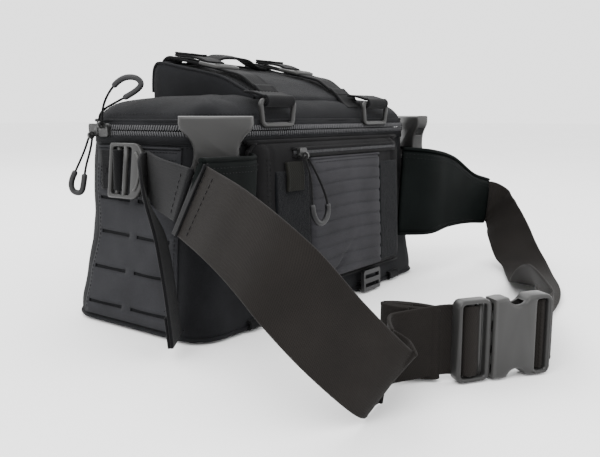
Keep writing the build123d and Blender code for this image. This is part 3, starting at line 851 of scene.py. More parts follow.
def lid_rows(drop):
    """Rings of the lid from its zip edge to its middle, so far inside its outer face."""
    rows = []
    for inset, share in lid_edge_rise:
        ring = []
        for d in around:
            spot = lid_point(d, inset + drop, 0)
            top = lid_height(spot.x, spot.y) - lid_edge
            sag = 1.3 * noise.noise(Vector((d / 38, inset / 9, 4.4))) * min(1, inset / 6)
            z = max(lid_edge, lid_edge + top * share + sag - drop * min(1, share * 5))
            slope = slack(d, 150) * 0.5 * (1 - share)
            facing = facing_at(d)
            ring.append(Vector((spot.x + facing.x * slope, spot.y + facing.y * slope, z)))
        rows.append(ring)
    return rows


lid_outer, lid_inner = lid_rows(0), lid_rows(6)
for point in lid_inner[0]:
    point.z = lid_edge + 0.6
lid_cover = shell("lid_cover", list(reversed(lid_outer)), lid_inner, "lid", "pack_fabric", lining)
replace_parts(lid_cover, "lid_panel")
subdivide(lid_cover)
seam_ring = [lid_point(d, 0.2, 174.2) for d in around]
tube("lid_piping", seam_ring, 1.4, "lid", "pack_fabric", closed=True)
rim_ring = [lid_point(d, 2.2, 179.6) for d in span(zip_start, zip_end, 4)]
stitches("lid_stitches", [rim_ring], "lid", "pack_fabric", radius=0.3)

# ---- raised pocket on the lid ----
hump_low, hump_high = box_mm("lid_hump")
hump_floor = [(52, 191.5), (30, 194.5), (0, 194.5), (-30, 194.5), (-50, 192.5)]
hump_line = [(-62, 189.5), (-60.5, 194), (-57, 197.5), (-45, 203), (-20, 214), (20, 222.5),
             (52, 229), (62, 226.5), (65.5, 214), (66, 185.5)]
hump_foot, hump_rise = 191, 36


def hump_section(x, shrink, drop):
    """Cross-section of the raised pocket at one x, drawn in towards its middle."""
    ring = []
    for y, z in smooth_rows(hump_line, 4) + hump_floor:
        high = (z - hump_foot) / hump_rise
        sag = noise.noise(Vector((x / 30, y / 24, z / 20))) * 1.6 * high
        droop = 1.8 * math.cos(x / hump_high.x * math.pi / 2) * high
        drawn = (z - hump_foot - drop * high) * shrink
        ring.append(Vector((x, 2 + (y - 2) * shrink, hump_foot + drawn + sag - 1.8 * high + droop)))
    return ring


ends = [(0.0, 0.80, 6), (0.4, 0.93, 2.5), (1.8, 0.985, 0.6), (4.5, 1.0, 0)]
hump_rows = [hump_section(hump_low.x + inset, shrink, drop) for inset, shrink, drop in ends]
hump_rows += [hump_section(x, 1.0, 0) for x in span(hump_low.x + 9, hump_high.x - 9, 7)]
hump_rows += [hump_section(hump_high.x - inset, shrink, drop) for inset, shrink, drop in reversed(ends)]
raised_pocket = subdivide(loft("raised_pocket", hump_rows, "lid", "pack_fabric"))
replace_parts(raised_pocket, "lid_hump")
# Parts of a cross-section that its piping and its stitching follow, and the far top edge's point.
piped, sewn, far_point = slice(3, 35), slice(6, 28), 24
for side, name, row in ((-1, "left", hump_rows[3]), (1, "right", hump_rows[-4])):
    edge = [point + Vector((2 * side, 0, 0.2)) for point in row[piped]]
    tube(f"pocket_piping_{name}", edge, 1.4, "lid", "pack_fabric", sides=6)
    seam = [point + Vector((-5 * side, 0, 0.5)) for point in row[sewn]]
    stitches(f"pocket_stitches_{name}", [seam], "lid", "pack_fabric", radius=0.32)
far_edge = [hump_section(x, 1.0, 0)[far_point] + Vector((0, 0, 0.9)) for x in span(-81, 81, 6)]
tube("pocket_piping_top", far_edge, 1.3, "lid", "pack_fabric", sides=6)

# ---- wearer's side ----
back_lean = (base_half.y - top_half.y) / zip_height


def back_point(x, up, out):
    """Point on the plane of the wearer's side, or so far out of it."""
    return Vector((x, -base_half.y + back_lean * up - out, up + back_lean * out))


def cushion(name, box, corner, steps, height, foot, body, slot):
    """Closed pad on the wearer's side; height(x, up, edge) gives its stand-off."""
    x_low, x_high, up_low, up_high = box
    xs = span(x_low, x_high, steps[0])
    ups = span(up_low, up_high, steps[1])

    def cut_corner(x, up):
        dx = max(x_low + corner - x, x - x_high + corner)
        dz = max(up_low + corner - up, up - up_high + corner)
        if dx <= 0 or dz <= 0:
            return x, up
        pull = max(dx, dz) / math.hypot(dx, dz)
        x_side = -1 if x < (x_low + x_high) / 2 else 1
        up_side = -1 if up < (up_low + up_high) / 2 else 1
        return x + x_side * dx * (pull - 1), up + up_side * dz * (pull - 1)

    front, back = [], []
    for up in ups:
        for x in xs:
            edge = min(x - x_low, x_high - x, up - up_low, up_high - up)
            flat_x, flat_up = cut_corner(x, up)
            front.append(back_point(flat_x, flat_up, height(x, up, edge)))
            back.append(back_point(flat_x, flat_up, foot))
    columns, rows = len(xs), len(ups)
    faces = []
    for row in range(rows - 1):
        for column in range(columns - 1):
            first = row * columns + column
            quad = (first, first + 1, first + columns + 1, first + columns)
            faces.append(quad)
            faces.append(tuple(index + len(front) for index in reversed(quad)))
    border = list(range(columns)) + [row * columns + columns - 1 for row in range(1, rows)]
    border += list(range(rows * columns - 2, (rows - 1) * columns - 1, -1))
    border += [row * columns for row in range(rows - 2, 0, -1)]
    for here, there in zip(border, border[1:] + border[:1]):
        faces.append((here, here + len(front), there + len(front), there))
    return piece(name, front + back, faces, body, slot)


pad_low, pad_high = 24.0, 156.0
pad_half = box_mm("back_pad")[1].x
pad_thick = 12.0


def crown(edge, width):
    """0 at a pad's edge, rising in a quarter circle to 1."""
    part = min(1.0, max(0.0, edge / width))
    return math.sqrt(1 - (1 - part) ** 2)


def pad_height(x, up, edge):
    """Padded back: full but for a sewn channel down each side."""
    soft = 0.9 * noise.noise(Vector((x / 30, up / 24, 5.0)))
    seam = 1.1 * math.exp(-((abs(x) - 99) / 1.6) ** 2)
    return 4.5 + (pad_thick - 4.0) * crown(edge, 13) + soft * crown(edge, 30) - seam


back_pad = cushion("padded_back", (-pad_half, pad_half, pad_low, pad_high), 14, (3, 4), pad_height, 0.6,
                   "pack", "pad_fabric")
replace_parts(back_pad, "back_pad")
pad_outline = rounded(-pad_half - 0.3, pad_half + 0.3, pad_low - 0.3, pad_high + 0.3, 14, 6)
pad_edge = [back_point(x, up, 4.6) for x, up in pad_outline]
tube("pad_binding", smooth_rows(pad_edge + pad_edge[:1], 4)[:-1], 2.0, "pack", "pad_fabric", closed=True)
stitches("pad_stitches", [[back_point(x, up, 13.0) for up in span(34, 146, 4)] for x in (-102, -106)],
         "pack", "pad_fabric", radius=0.34)

pocket_low, pocket_high = box_mm("pocket_panel")
pocket_foot, pocket_top = 28, 140
rib_pitch = 11.5


def pocket_height(x, up, edge):
    """Ribbed slip pocket: sagging ribs, puffed up more at its foot, with one fold."""
    share = (x - pocket_low.x) / (pocket_high.x - pocket_low.x)
    sag = 3.0 * math.sin(math.pi * min(1, max(0, share)))
    rib = (up - sag * 0.8) % rib_pitch
    groove = 1.15 * math.exp(-(min(rib, rib_pitch - rib) / 1.25) ** 2)
    puff = 1.0 + 5.2 * crown(edge, 26) * (1.15 - 0.35 * (up - pocket_foot) / 111)
    fold = 2.2 * math.exp(-((x + 12 - 1.1 * (up - 36)) / 4.5) ** 2) * math.exp(-((up - 40) / 15) ** 2)
    return pad_thick + puff + 0.8 * crown(edge, 4) - groove - fold + 0.5 * noise.noise(
        Vector((x / 18, up / 15, 9.0)))


slip_pocket = cushion("slip_pocket", (pocket_low.x, pocket_high.x, pocket_foot, pocket_top), 4,
                      (2.6, 0.95), pocket_height, pad_thick - 2, "pack", "ribbed_fabric")
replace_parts(slip_pocket, "pocket_panel")
tube("pocket_hem", [back_point(x, pocket_top, pad_thick + 1.6) for x in span(-47, 72, 5)], 1.2, "pack",
     "ribbed_fabric", sides=6)
stitches("pocket_hem_stitches", [[back_point(x, 136.6, pad_thick + 4.3) for x in span(-43, 68, 4)]],
         "pack", "ribbed_fabric", radius=0.32)


def loop_height(x, up, edge):
    """Loop tape: thin, with a rough face."""
    return pad_thick + 0.6 + 1.0 * crown(edge, 2.5) + 0.35 * noise.noise(Vector((x / 2.1, up / 2.1, 4.0)))


for name, node, low, high in (("loop_tape_left", "loop_strip_left", -96, -48),
                              ("loop_tape_right", "loop_strip_right", 73, 110)):
    tape = cushion(name, (low, high, 30, 132), 2, (1.6, 1.6), loop_height, pad_thick - 1, "pack",
                   "loop_pile")
    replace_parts(tape, node)
tab_line = flat([back_point(-72, up, out) for up, out in ((139, 14.5), (126, 16.2), (114, 15.2))])
strap("ribbed_tab", tab_line, 24, 2.2, slot="woven_label", node="woven_tab")

# Slip pocket's zip: two cloth lips with a fine coil between them.
zip_row = 146.5
for name, offset in (("low", -3.1), ("high", 3.1)):
    lip = [back_point(x, zip_row + offset, pad_thick + 1.0) for x in span(-72, 104, 5)]
    tube(f"pocket_zip_lip_{name}", lip, 1.5, "pack", "pad_fabric")
coil_points = []
coil_steps, steps_per_turn = 880, 8
for step in range(coil_steps):
    turn = 2 * math.pi * step / steps_per_turn
    coil_points.append(back_point(-70 + step * 0.2, zip_row + 1.5 * math.sin(turn),
                                  pad_thick + 1.1 + 0.5 * math.cos(turn)))
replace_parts(tube("pocket_zip_coil", coil_points, 0.42, "pack", "zip", sides=5), "pocket_zip")
zip_base = flat([back_point(x, zip_row, pad_thick + 0.2) for x in (-71, -20, 40, 103)], (0, 0, 1))
strap("pocket_zip_tape", zip_base, 6.4, 0.8, slot="pad_fabric", steps=4)

# Bottom lashing straps: a loop of webbing under each lock, and a short tab outside them.
for index, (x, width, out) in enumerate(((-116, 20, 6.0), (-58, 25, 8.0), (58, 25, 8.0), (116, 20, 6.0))):
    section = [(9.3, -2), (9.3, out - 3), (8.2, out - 1.2), (6, out - 0.8), (3.8, out - 1.2),
               (2.9, out - 3), (2.9, -2)]
    line = flat([back_point(x, up, stand) for up, stand in section])
    strap(f"bottom_loop_{index}", line, width, 1.8, steps=4, node=None if index else "bottom_straps")

# ---- wings: padded, with a hem and a binding ----
wing_thick = 6.0


def wing(name, node, line):
    """Padded wing along (centre, across, width) stations, crowned between its bound edges."""
    sections = []
    edges = {"top": [], "low": []}
    frames = band_frames(line, None, 9)
    for index, (centre, across, normal, width) in enumerate(frames):
        ring = []
        half = width / 2
        puff = 0.8 + 0.35 * noise.noise(Vector((index / 4, 2.0, 0.0)))
        for side in (1, -1):
            for part in span(-1, 1, 0.12)[:-1]:
                across_at = part * side
                rise = wing_thick / 2 * (0.38 + 0.62 * puff * math.sqrt(max(0.0, 1 - across_at ** 4)))
                ring.append(centre + across * (half * across_at) + normal * (rise * side))
        sections.append(ring)
        edges["top"].append(centre + across * (half + 0.4))
        edges["low"].append(centre - across * (half + 0.4))
    made = loft(name, sections, "pack", "wing_fabric")
    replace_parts(made, node)
    for edge, points in edges.items():
        tube(f"{name}_binding_{edge}", points, 1.9, "pack", "wing_fabric")
    hems = []
    for inset in (5, 9):
        for face in (1, -1):
            hems.append([centre + across * (width / 2 - inset) + normal * (face * 2.9)
                         for centre, across, normal, width in frames])
    stitches(name + "_stitches", hems, "pack", "wing_fabric", radius=0.34)


seam_across = (0.37, -0.14, 0.92)
wing("wing_pad_left", "wing_left",
     [((-124, -93, 110), (0, 0, 1), 74), ((-152, -115, 112), (0.1, -0.05, 1), 70),
      ((-190, -123, 118), (0.24, -0.1, 0.95), 61), ((-226, -128.5, 123.7), seam_across, 52)])
wing("wing_pad_right", "wing_right",
     [((124, -93, 97), (0, 0, 1), 92), ((152, -115, 95), (0, 0, 1), 89),
      ((195, -117, 92), (0, 0, 1), 79), ((250, -119, 80), (-0.02, 0, 1), 58),
      ((290, -124, 73), (-0.05, 0, 1), 52)])

# ---- belt webbing ----
belt_width, web = 50.0, 2.2
left_line = [((-225.4, -127.0, 123.5), seam_across), ((-248, -182, 112), (0.36, -0.20, 0.91)),
             ((-262, -231, 92), (0.40, -0.28, 0.87)), ((-243, -254, 58), (0.47, -0.38, 0.80)),
             ((-213, -268, 26), (0.50, -0.44, 0.74)), ((-198, -264, 24), (0.38, -0.36, 0.85)),
             ((-188, -256, 25.5), (0.10, -0.10, 1))]
strap("belt_left", left_line, belt_width, web, "pack", "belt_webbing", 10, "belt_webbing_left")


def cross_lines(line, width, spots, out, steps=8, faces=(1, -1)):
    """Stitching across a strap at some of its frames."""
    frames = band_frames(line, width, steps)
    lines = []
    for spot in spots:
        centre, across, normal, _ = frames[spot]
        for face in faces:
            lines.append([centre + across * side + normal * (face * out)
                          for side in span(-width / 2 + 3, width / 2 - 3, 4)])
    return lines


stitches("belt_left_stitches", cross_lines(left_line, belt_width, (1, 3), 1.25, 10), "pack")
seam_bar = [((-223.4, -123.2, 124.2), seam_across), ((-225.4, -127.0, 124.0), seam_across),
            ((-227.6, -131.5, 123.6), seam_across)]
for name, shift in (("out", (-1.7, 0.0, -0.1)), ("in", (2.0, 0.7, 0))):
    strap(f"seam_cover_{name}", [(Vector(spot) + Vector(shift), across) for spot, across in seam_bar],
          51, 1.4, steps=4)
right_line = [((288, -123.5, 73), (-0.05, 0, 1)), ((294, -127.5, 71.5), (-0.02, 0, 1)),
              ((297, -135, 66), (0.1, 0, 0.98)), ((292, -143, 58), (0.38, -0.05, 0.9)),
              ((281.5, -152, 48), (0.55, -0.15, 0.8)), ((268, -164, 36), (0.62, -0.3, 0.72)),
              ((254, -177, 22), (0.66, -0.45, 0.55)), ((238, -193, 11), (0.72, -0.6, 0.2)),
              ((205, -211, 5), (0.5, -0.85, 0.05)), ((150, -235, 8.5), (0.35, -0.93, -0.1)),
              ((60, -268, 26), (0.05, -0.4, -0.83)), ((-18, -298, 28), (0, 0, -1)),
              ((-50, -312.5, 29), (0, 0, -1))]
bar_far = Vector((-72.8, -309.3, 29.0))
bar_way = Vector((0.829, -0.559, 0))
bar_front = Vector((-0.559, -0.829, 0))
for turn in span(60, 250, 38):
    way, out = circle(turn)
    right_line.append((bar_far + bar_way * (3.9 * way) + bar_front * (4.4 * out), (0, 0, -1)))
right_line += [((-60, -306.5, 29), (0, 0, -1)), ((-30, -294.5, 28), (0, 0, -1))]
strap("belt_right", right_line, belt_width, web, "pack", "belt_webbing", 8, "belt_webbing_right")
stitches("belt_right_stitches", cross_lines(right_line, belt_width, (3, 6), 1.25), "pack")

# Spare webbing rolled up beside the male half.
buckle_cos, buckle_sin = circle(34)
buckle_dir = Vector((buckle_cos, -buckle_sin, 0))
buckle_out = Vector((-buckle_sin, -buckle_cos, 0))
buckle_foot = Vector((-127.5, -272.4, 29.0))
roll_middle = Vector((-134.5, -244.0, 26.5))
roll_long = Vector((-9.5, 44, 0)).normalized()
roll_side = Vector((roll_long.y, -roll_long.x, 0))


def roll_point(turn, grow):
    """Point on a flattened spiral of webbing."""
    along, aside = (13.5 + grow) * math.sin(turn), grow * math.cos(turn)
    return roll_middle + roll_long * along + roll_side * aside


roll_line = flat([roll_point(step * math.pi / 6, 1.6 + 2.55 * step / 12) for step in range(31)], (0, 0, 1))
strap("webbing_roll", roll_line, belt_width, web, "buckle_male", "belt_webbing", 2, "buckle_webbing_roll")
male_bar = 11.6
bar_near = buckle_foot + buckle_dir * male_bar

# The belt's returned end crosses from its fold to the male half.
bridge_line = [((-188.5, -256.2, 25.5), (0.10, -0.10, 1)), ((-172, -246.5, 26), (0.04, -0.04, 1)),
               ((-160, -243, 26.5), (0, 0, 1)), ((-150, -248, 27), (0, 0, 1)),
               (bar_near - buckle_dir * 18 - buckle_out * 6, (0, 0, 1)),
               (bar_near - buckle_dir * 8 - buckle_out * 3.2, (0, 0, 1))]
for turn in (170, 135, 100, 65, 30, -5, -40, -60):
    way, out = circle(turn)
    bridge_line.append((bar_near + buckle_dir * (5.6 * way) + buckle_out * (4.3 * out), (0, 0, 1)))
bridge_line += [(bar_near - buckle_out * 7.5 - buckle_dir * 7, (0, 0, 1))]
bridge = strap("belt_return", bridge_line, belt_width - 1, web, None, "belt_webbing", 6)
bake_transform(bridge)

# ---- stabilisers, ladder locks, anchors and tails ----
side_lean = (base_half.x - top_half.x) / zip_height
side_web = 38.0


def side_point(side, along, up, out):
    """Point on a side wall's plane (side is -1 for left): along runs towards -Y."""
    length = math.hypot(1, side_lean)
    return Vector((side * (base_half.x - side_lean * up / length + out / length), -along,
                   up / length + side_lean * out / length))


lock_up, lock_out = 133.0, 6.3
anchor_width = 34


def lock_parts(side, suffix, body):
    """Ladder lock: a frame with two bars and a round thumb tab, its anchor and its stitching."""
    centre = side_point(side, 0, lock_up, lock_out + 2.5)
    facing = side_point(side, 0, 0, 1) - side_point(side, 0, 0, 0)
    place = placed(centre, (0, -1, 0), facing)
    tab = [(8 + 14.0 * x, 23.0 * y) for x, y in map(circle, range(-90, 91, 10))]
    frame_corner = [(-19.5 - 2.2 * y, 20.5 + 2.5 * x) for x, y in map(circle, (20, 60, 90))]
    frame_loop = mirrored([(-17, 23)] + frame_corner)
    window = rounded(-17.5, 6.0, -19.5, 19.5, 2, 3)
    if side > 0:
        frame_loop, tab, window = ([(x, y) for x, y in loop] for loop in (frame_loop, tab, window))
    made = plate(f"ladder_lock_body_{suffix}", tab + frame_loop, [window], 5, 1.5, place, body,
                 "buckle_plastic")
    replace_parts(made, f"ladder_lock_{suffix}")
    for index, (along, out, size) in enumerate(((-11.5, 2.2, 1.9), (-2.0, 2.8, 2.3))):
        bar = [side_point(side, along, lock_up + part, lock_out + out) for part in (-20.5, -7, 7, 20.5)]
        tube(f"lock_bar_{suffix}_{index}", bar, size, body, "buckle_plastic", sides=12)
    ridge = [side_point(side, 10 + 7.5 * x, lock_up + 16 * y, lock_out + 5.3)
             for x, y in map(circle, span(-75, 75, 15))]
    tube(f"lock_ridge_{suffix}", ridge, 1.2, body, "buckle_plastic")
    anchor_line = flat([side_point(side, along, lock_up, out)
                        for along, out in ((-41.5, 2.6), (-24, 2.8), (-19.8, 3.6))], (0, 0, 1))
    strap(f"anchor_{suffix}", anchor_line, anchor_width, 2.0, steps=5, node=f"lock_anchor_{suffix}")
    loop_line = flat([side_point(side, -11.5 - 4.0 * x, lock_up, lock_out + 2.2 + 3.4 * y)
                      for x, y in map(circle, range(-60, 241, 30))], (0, 0, 1))
    strap(f"anchor_loop_{suffix}", loop_line, anchor_width, 1.5, body, steps=3)
    # The sewn box with a cross in it.
    low_near, low_far, high_far, high_near = (-40, -14), (-25, -14), (-25, 14), (-40, 14)
    box = []
    for start, end in ((low_near, low_far), (low_far, high_far), (high_far, high_near),
                       (high_near, low_near), (low_near, high_far), (high_near, low_far)):
        box.append([side_point(side, start[0] + (end[0] - start[0]) * part,
                               lock_up + start[1] + (end[1] - start[1]) * part, 4.0)
                    for part in span(0, 1, 0.12)])
    stitches(f"anchor_stitches_{suffix}", box, "pack", length=2.2, space=1.0, radius=0.36)


lock_parts(-1, "left", "lock_left")
lock_parts(1, "right", "lock_right")


def stabiliser(suffix, line):
    """Webbing from a ladder lock to its wing's tip, sewn at the tip."""
    strap(f"stabiliser_{suffix}", line, side_web, web, node=f"stabilizer_strap_{suffix}")
    stitches(f"stabiliser_stitches_{suffix}", cross_lines(line, side_web, (-3,), 1.3), "pack")


stabiliser("left", [((-167.0, -6, 131.5), (0, 0, 1)), ((-167.8, -20, 131.5), (0, 0, 1)),
                    ((-176.5, -33, 131), (0.02, 0, 1)), ((-199, -68, 128.5), (0.1, -0.05, 1)),
                    ((-222.5, -119, 125), (0.3, -0.1, 0.95))])
stabiliser("right", [((176.5, -24, 131), (0, 0, 1)), ((214, -52, 116), (0, 0, 1)),
                     ((252, -86, 96), (0, 0, 1)), ((284, -116, 78), (-0.05, 0, 1))])


def tail(suffix, line):
    """Hanging webbing, turned back and sewn at its end."""
    strap(f"tail_{suffix}", line, side_web, web, node=f"strap_tail_{suffix}")
    last_frames = band_frames(line, side_web, 8)[-7:]
    fold = [(centre + normal * 2.3, across) for centre, across, normal, _ in last_frames]
    strap(f"tail_fold_{suffix}", fold, side_web - 1, 2.0, steps=2)
    stitches(f"tail_stitches_{suffix}", cross_lines(line, side_web, (-8, -2), 3.5), "pack")


tail("left", [((-171.2, -22.8, 131), (0, 0, 1)), ((-182, -30.5, 130), (-0.1, -0.05, 1)),
              ((-191, -40, 126), (-0.35, -0.25, 0.85)), ((-197, -54, 111), (-0.62, -0.42, 0.5)),
              ((-199.5, -67, 91), (-0.78, -0.58, 0.15)), ((-200, -74, 66), (-0.8, -0.6, 0)),
              ((-198.5, -77, 40), (-0.8, -0.6, 0)), ((-197, -79.5, 10), (-0.8, -0.6, 0))])
tail("right", [((183, -26.5, 126), (0.1, -0.5, 0.85)), ((191, -31, 104), (0, -1, 0.1)),
               ((194, -30, 56), (0.1, -1, 0)), ((189, -30, 10), (0.1, -1, 0))])

# ---- buckles ----


def carve(target, cutter):
    """Cut one piece's shape out of another's mesh."""
    modifier = target.modifiers.new("cut", "BOOLEAN")
    modifier.operation = "DIFFERENCE"
    modifier.solver = "EXACT"
    modifier.object = cutter
    bpy.context.view_layer.update()
    mesh = final_mesh(target)
    target.modifiers.clear()
    mesh.name = target.name
    target.data = mesh
    mesh.set_sharp_from_angle(angle=sharp_angle)
    bpy.data.objects.remove(cutter)


def socket_buckle(name, node, body, half_loop, thick, cavity, window, place):
    """Female half: an outline with a window for webbing, hollowed from its mouth at x = 0."""
    made = plate(name, mirrored(half_loop), [window], thick, 2.6, place, body, "buckle_plastic")
    hollow = plate("hollow", rounded(-6, cavity[0], -cavity[1], cavity[1], 1.5, 2), [], cavity[2], 0.8,
                   place, body, "buckle_plastic")
    carve(made, hollow)
    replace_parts(made, node)


def upright_bar(name, along, half, size, body):
    """Round bar of the belt buckle, so far along it from the male half's webbing end."""
    bar = [buckle_foot + buckle_dir * along + Vector((0, 0, z)) for z in (-half, -9, 9, half)]
    tube(name, bar, size, body, "buckle_plastic", sides=12)


male_length = 27.0
female_half = [(0.6, 27.6), (8, 28.3)] + arc(19.5, 31.0, 8.6, 200, 335) + [(30, 28.4), (38, 28.6)]
female_half += arc(41.5, 23.0, 5.5, 80, 0, 20) + [(47, 12)]
socket_buckle("buckle_socket", "belt_buckle_female", "pack", female_half, 15, (27, 24.5, 7.5),
              rounded(34.5, 43.0, -25.2, 25.2, 2.0, 3),
              placed(buckle_foot + buckle_dir * male_length, buckle_dir, buckle_out))
upright_bar("buckle_far_bar", male_length + 38.8, 26, 2.6, "pack")
male_place = placed(buckle_foot, buckle_dir, buckle_out)
male_frame = plate("buckle_prong_frame", rounded(0.3, 26.5, -28.5, 28.5, 5.5, 5),
                   [rounded(4.2, 22.0, -25.4, 25.4, 2.0, 3)], 11, 2.4, male_place, "buckle_male",
                   "buckle_plastic")
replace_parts(male_frame, "belt_buckle_male")
upright_bar("buckle_bar_0", male_bar, 26.5, 3.0, "buckle_male")
upright_bar("buckle_bar_1", 19.8, 26.5, 1.6, "buckle_male")
plate("buckle_tongue", rounded(25, male_length + 20.5, -5, 5, 2.5, 3), [], 6, 1.2, male_place,
      "buckle_male", "buckle_plastic")
arm_outline = [(27.4, 12), (45, 13.2), (46.6, 14.8), (46.4, 19.5), (42, 24.2), (38, 25.4),
               (35.4, 25.2), (35, 22), (38, 18.5), (27.4, 18)]
for side, suffix in ((1, "top"), (-1, "bottom")):
    arm = plate(f"buckle_arm_{suffix}", [(x, side * y) for x, y in arm_outline][::side], [], 6.4, 1.4,
                male_place, f"arm_{suffix}", "buckle_plastic")
    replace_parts(arm, f"release_arm_{suffix}")

shoulder_x, shoulder_y, mouth_z, bar_z = 157, -87, 178, 139
shoulder_half = [(0, 28.2), (6, 28.5), (10, 27.4), (13, 24.6), (16, 21.6), (20, 18.8), (25, 17.2),
                 (30, 17.0), (36, 18.2), (41, 20.6)]
shoulder_half += arc(43, 17, 4, 70, 0, 30)
# The webbing through the bar: how far out, and its shift from the bar, at each station.
shoulder_loop = [(1.5, (3.5, 2.5, -43)), (1.8, (3.0, 2.2, -25)), (4.0, (0, 0, -9)), (4.6, (0, 0, 0)),
                 (0, (0, 0, 4.0)), (-4.4, (0, 0, 0)), (-3.2, (0, 0, -9)), (-0.6, (3.0, 2.2, -25))]
for side, suffix in ((1, "left"), (-1, "right")):
    facing = Vector((-0.8 * side, -0.6, 0))
    socket_buckle(f"shoulder_socket_{suffix}", f"shoulder_buckle_{suffix}", f"shoulder_{suffix}",
                  shoulder_half, 13, (21, 24.5, 7.5), rounded(35.5, 42.5, -14, 14, 2.0, 3),
                  placed((-side * shoulder_x, shoulder_y, mouth_z), (0, 0, -1), (-0.8 * side, -0.6, 0)))
    bar = Vector((-side * shoulder_x, shoulder_y, bar_z))
    line = flat([bar + facing * out + Vector((side * x, y, z)) for out, (x, y, z) in shoulder_loop],
                (0.6 * side, -0.8, 0))
    strap(f"shoulder_web_{suffix}", line, 25, 1.8, steps=4, node="shoulder_webbing" if side == 1 else None)

# ---- straps, rings and handle on the lid ----
strap_inner = 59.5
ring_x, ring_y, ring_z = 80.0, -85.5, 190.5


def over_pocket(y):
    """Height of the raised pocket's cloth at a place across the bag."""
    for (y_low, z_low), (y_high, z_high) in zip(hump_line, hump_line[1:]):
        if y_low <= y <= y_high:
            return z_low + (z_high - z_low) * (y - y_low) / (y_high - y_low)
    return lid_top


over_line = [(-60, 198.5), (-50, 204.5), (-36, 213.5), (-20, 217.5), (-4, 221.5), (20, 227), (36, 230),
             (52, 233.5), (60, 232), (65, 226)]
loose_line = [(4, 7.5), (14, 9), (26, 9), (36, 8.0), (46, 7.5)]
anchor_tab = [(-74, 185.5), (-67, 190.5), (-61, 197.0), (-52, 205.0)]
for side, suffix in ((-1, "left"), (1, "right")):
    x = side * strap_inner
    line = flat([(x, y, z) for y, z in over_line])
    line[2] = (line[2][0], (1, 0.02, 0.02))
    strap(f"lid_strap_{suffix}_web", line, 25, web, "lid", steps=6, node=f"lid_strap_{suffix}")
    stitches(f"lid_strap_stitches_{suffix}", cross_lines(line, 25, (3, -6), 1.3, 6, (1,)), "lid")
    facing = (0, -0.21, 1)
    middle = Vector((x, 0, over_pocket(0) + 5.6))
    adjuster = plate(f"adjuster_{suffix}", rounded(-15.5, 15.5, -13, 13, 3.5, 4),
                     [rounded(-12.6, 12.6, -9.6, -1.6, 1.5, 2), rounded(-12.6, 12.6, 1.6, 9.6, 1.5, 2)],
                     3.6, 1.2, placed(middle, (1, 0, 0), facing), "lid", "buckle_plastic")
    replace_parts(adjuster, f"strap_adjuster_{suffix}")
    for index in range(3):
        up = Vector((0, 0.98, 0.2)) * (-10.6 + index * 2.2)
        ridge = [middle + up + Vector((part, 0, 1.8)) for part in (-11, -4, 4, 11)]
        tube(f"adjuster_ridge_{suffix}_{index}", ridge, 0.7, "lid", "buckle_plastic", sides=6)
    tail_points = [Vector((x, y, over_pocket(y) + rise)) for y, rise in loose_line]
    strap(f"lid_strap_tail_{suffix}", flat(tail_points), 24, 2.0, "lid", steps=6)
    fold = flat([point + Vector((0, 0, 2.2)) for point in tail_points[-3:]])
    strap(f"lid_strap_tail_fold_{suffix}", fold, 23.4, 1.8, "lid", steps=4)
    strap(f"strap_anchor_{suffix}", flat([(x, y, z) for y, z in anchor_tab]), 27, 2.2, "lid", steps=5)
    tab_x = side * ring_x
    tab_points = [(-64, 198.2), (-74, 197.2)]
    tab_points += [(ring_y + 4.1 * way, ring_z + 4.1 * out) for way, out in map(circle, range(75, 271, 39))]
    tab_points.append((-80.4, 186.2))
    strap(f"ring_tab_{suffix}", flat([(tab_x, y, z) for y, z in tab_points]), 38, 2.0, "lid", steps=5,
          node="ring_tabs" if side == -1 else None)
    stitches(f"ring_tab_stitches_{suffix}", [[(tab_x + part, -76.5, 198.4) for part in span(-16, 16, 4)]],
             "lid")

handle_half = [(52, 228.5, 0.15), (44, 229.0, 0.2), (32, 231, 0.2), (16, 236.5, 0.2)]
handle_line = [((-x, 40, z), (0, 1, tilt)) for x, z, tilt in handle_half]
handle_line += [((x, 40, z), (0, 1, tilt)) for x, z, tilt in reversed(handle_half)]
strap("handle", handle_line, 20, web, "lid", steps=6, node="lid_handle")
stitches("handle_stitches", cross_lines(handle_line, 20, (3, 8, -4, -9), 1.3, 6, (1,)), "lid")

# ---- zip pulls: a cord loop through each slider's eye, with a rubber sleeve over its fold ----
cord_thick, sleeve_thick = 2.0, 5.0


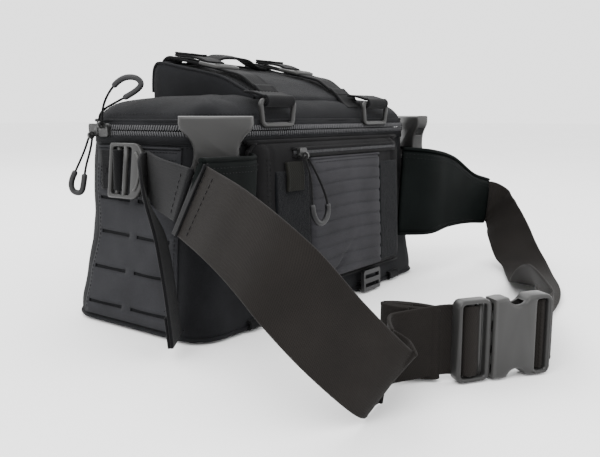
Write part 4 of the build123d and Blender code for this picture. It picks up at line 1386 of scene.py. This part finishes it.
def pull(name, body, eye, route, sleeve_from, sleeve_to):
    """Cord loop as one spline that starts and ends in the eye, and its sleeve."""
    curve = bpy.data.curves.new(f"cord_{name}", "CURVE")
    curve.dimensions = "3D"
    curve.resolution_u = 12
    spline = curve.splines.new("NURBS")
    points = [eye] + route + [eye]
    spline.points.add(len(points) - 1)
    for point, place in zip(spline.points, points):
        point.co = (*(Vector(place) * MM), 1)
    spline.order_u = 3
    spline.use_endpoint_u = True
    cord = added(f"cord_{name}", curve)
    bpy.context.view_layer.update()
    line = final_mesh(cord)
    places = [vertex.co / MM for vertex in line.vertices]
    bpy.data.meshes.remove(line)
    runs = distances(places)
    curve.bevel_depth = cord_thick / 2 * MM
    curve.bevel_resolution = 3
    curve.materials.append(finishes["pull_cord"])
    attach(cord, body)
    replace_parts(cord, f"pull_cord_{name}")
    covered = [place for place, run in zip(places, runs)
               if sleeve_from <= run / runs[-1] <= sleeve_to]
    radii = [sleeve_thick / 2] * len(covered)
    radii[0], radii[-1] = 1.7, 1.7
    radii[1], radii[-2] = 2.4, 2.4
    sleeve = tube(f"sleeve_{name}", covered, radii, body, "pull_sleeve", sides=12)
    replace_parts(sleeve, f"pull_sleeve_{name}")


front_route = [(-168.0, 34.9, 170.5), (-167.0, 34.6, 186.0), (-162.3, 29.5, 200.0), (-156.0, 21.0, 210.0),
               (-149.0, 11.5, 210.5), (-145.5, 7.5, 204.5), (-149.5, 13.0, 198.0), (-158.5, 24.0, 190.5),
               (-166.5, 38.8, 182.0), (-168.0, 39.3, 170.5)]
rear_route = [(-168.0, 52.8, 161.5), (-171.5, 55.0, 149.0), (-177.0, 59.5, 134.0), (-181.5, 64.0, 121.0),
              (-180.5, 62.5, 112.5), (-176.0, 56.5, 111.5), (-174.5, 55.0, 119.5), (-173.0, 53.5, 134.0),
              (-169.5, 50.0, 149.0), (-168.0, 48.1, 161.5)]
pocket_route = [(-64.1, -102.5, 143.0), (-68.5, -112.5, 126.0), (-73.5, -117.0, 109.0),
                (-73.5, -117.5, 96.5), (-66.5, -118.0, 87.0), (-56.5, -118.0, 87.0), (-49.5, -117.5, 96.0),
                (-52.5, -117.0, 109.0), (-58.0, -112.5, 126.0), (-59.9, -102.5, 143.0)]
pull("front", "slider_front_body", (-167.9, 37.0, 170.5), front_route, 0.29, 0.71)
pull("rear", "slider_rear_body", (-167.9, 50.5, 161.5), rear_route, 0.31, 0.69)
pull("pocket", "pocket_slider_body", (-62.0, -101.8, 143.4), pocket_route, 0.33, 0.67)

# ---- CAD nodes that keep their shape ----
for node, shown in frame["nodes"].items():
    slot = next(row["material_slot"] for row in frame["record"]["subparts"] if row["node"] == node)
    shown.data.materials.clear()
    shown.data.materials.append(dark_plastic if node == "bottom_locks" else finishes[slot])
    if slot in ("buckle_plastic", "slider_metal"):
        rounding = shown.modifiers.new("edge_rounding", "BEVEL")
        rounding.width = 0.5 * MM
        rounding.segments = 2
        rounding.limit_method = "ANGLE"

# ---- floor ----
bpy.ops.mesh.primitive_plane_add(size=30, location=(0, 0, -0.0005))
floor = bpy.context.object
floor.name = "floor"
floor.data.materials.append(floor_material)
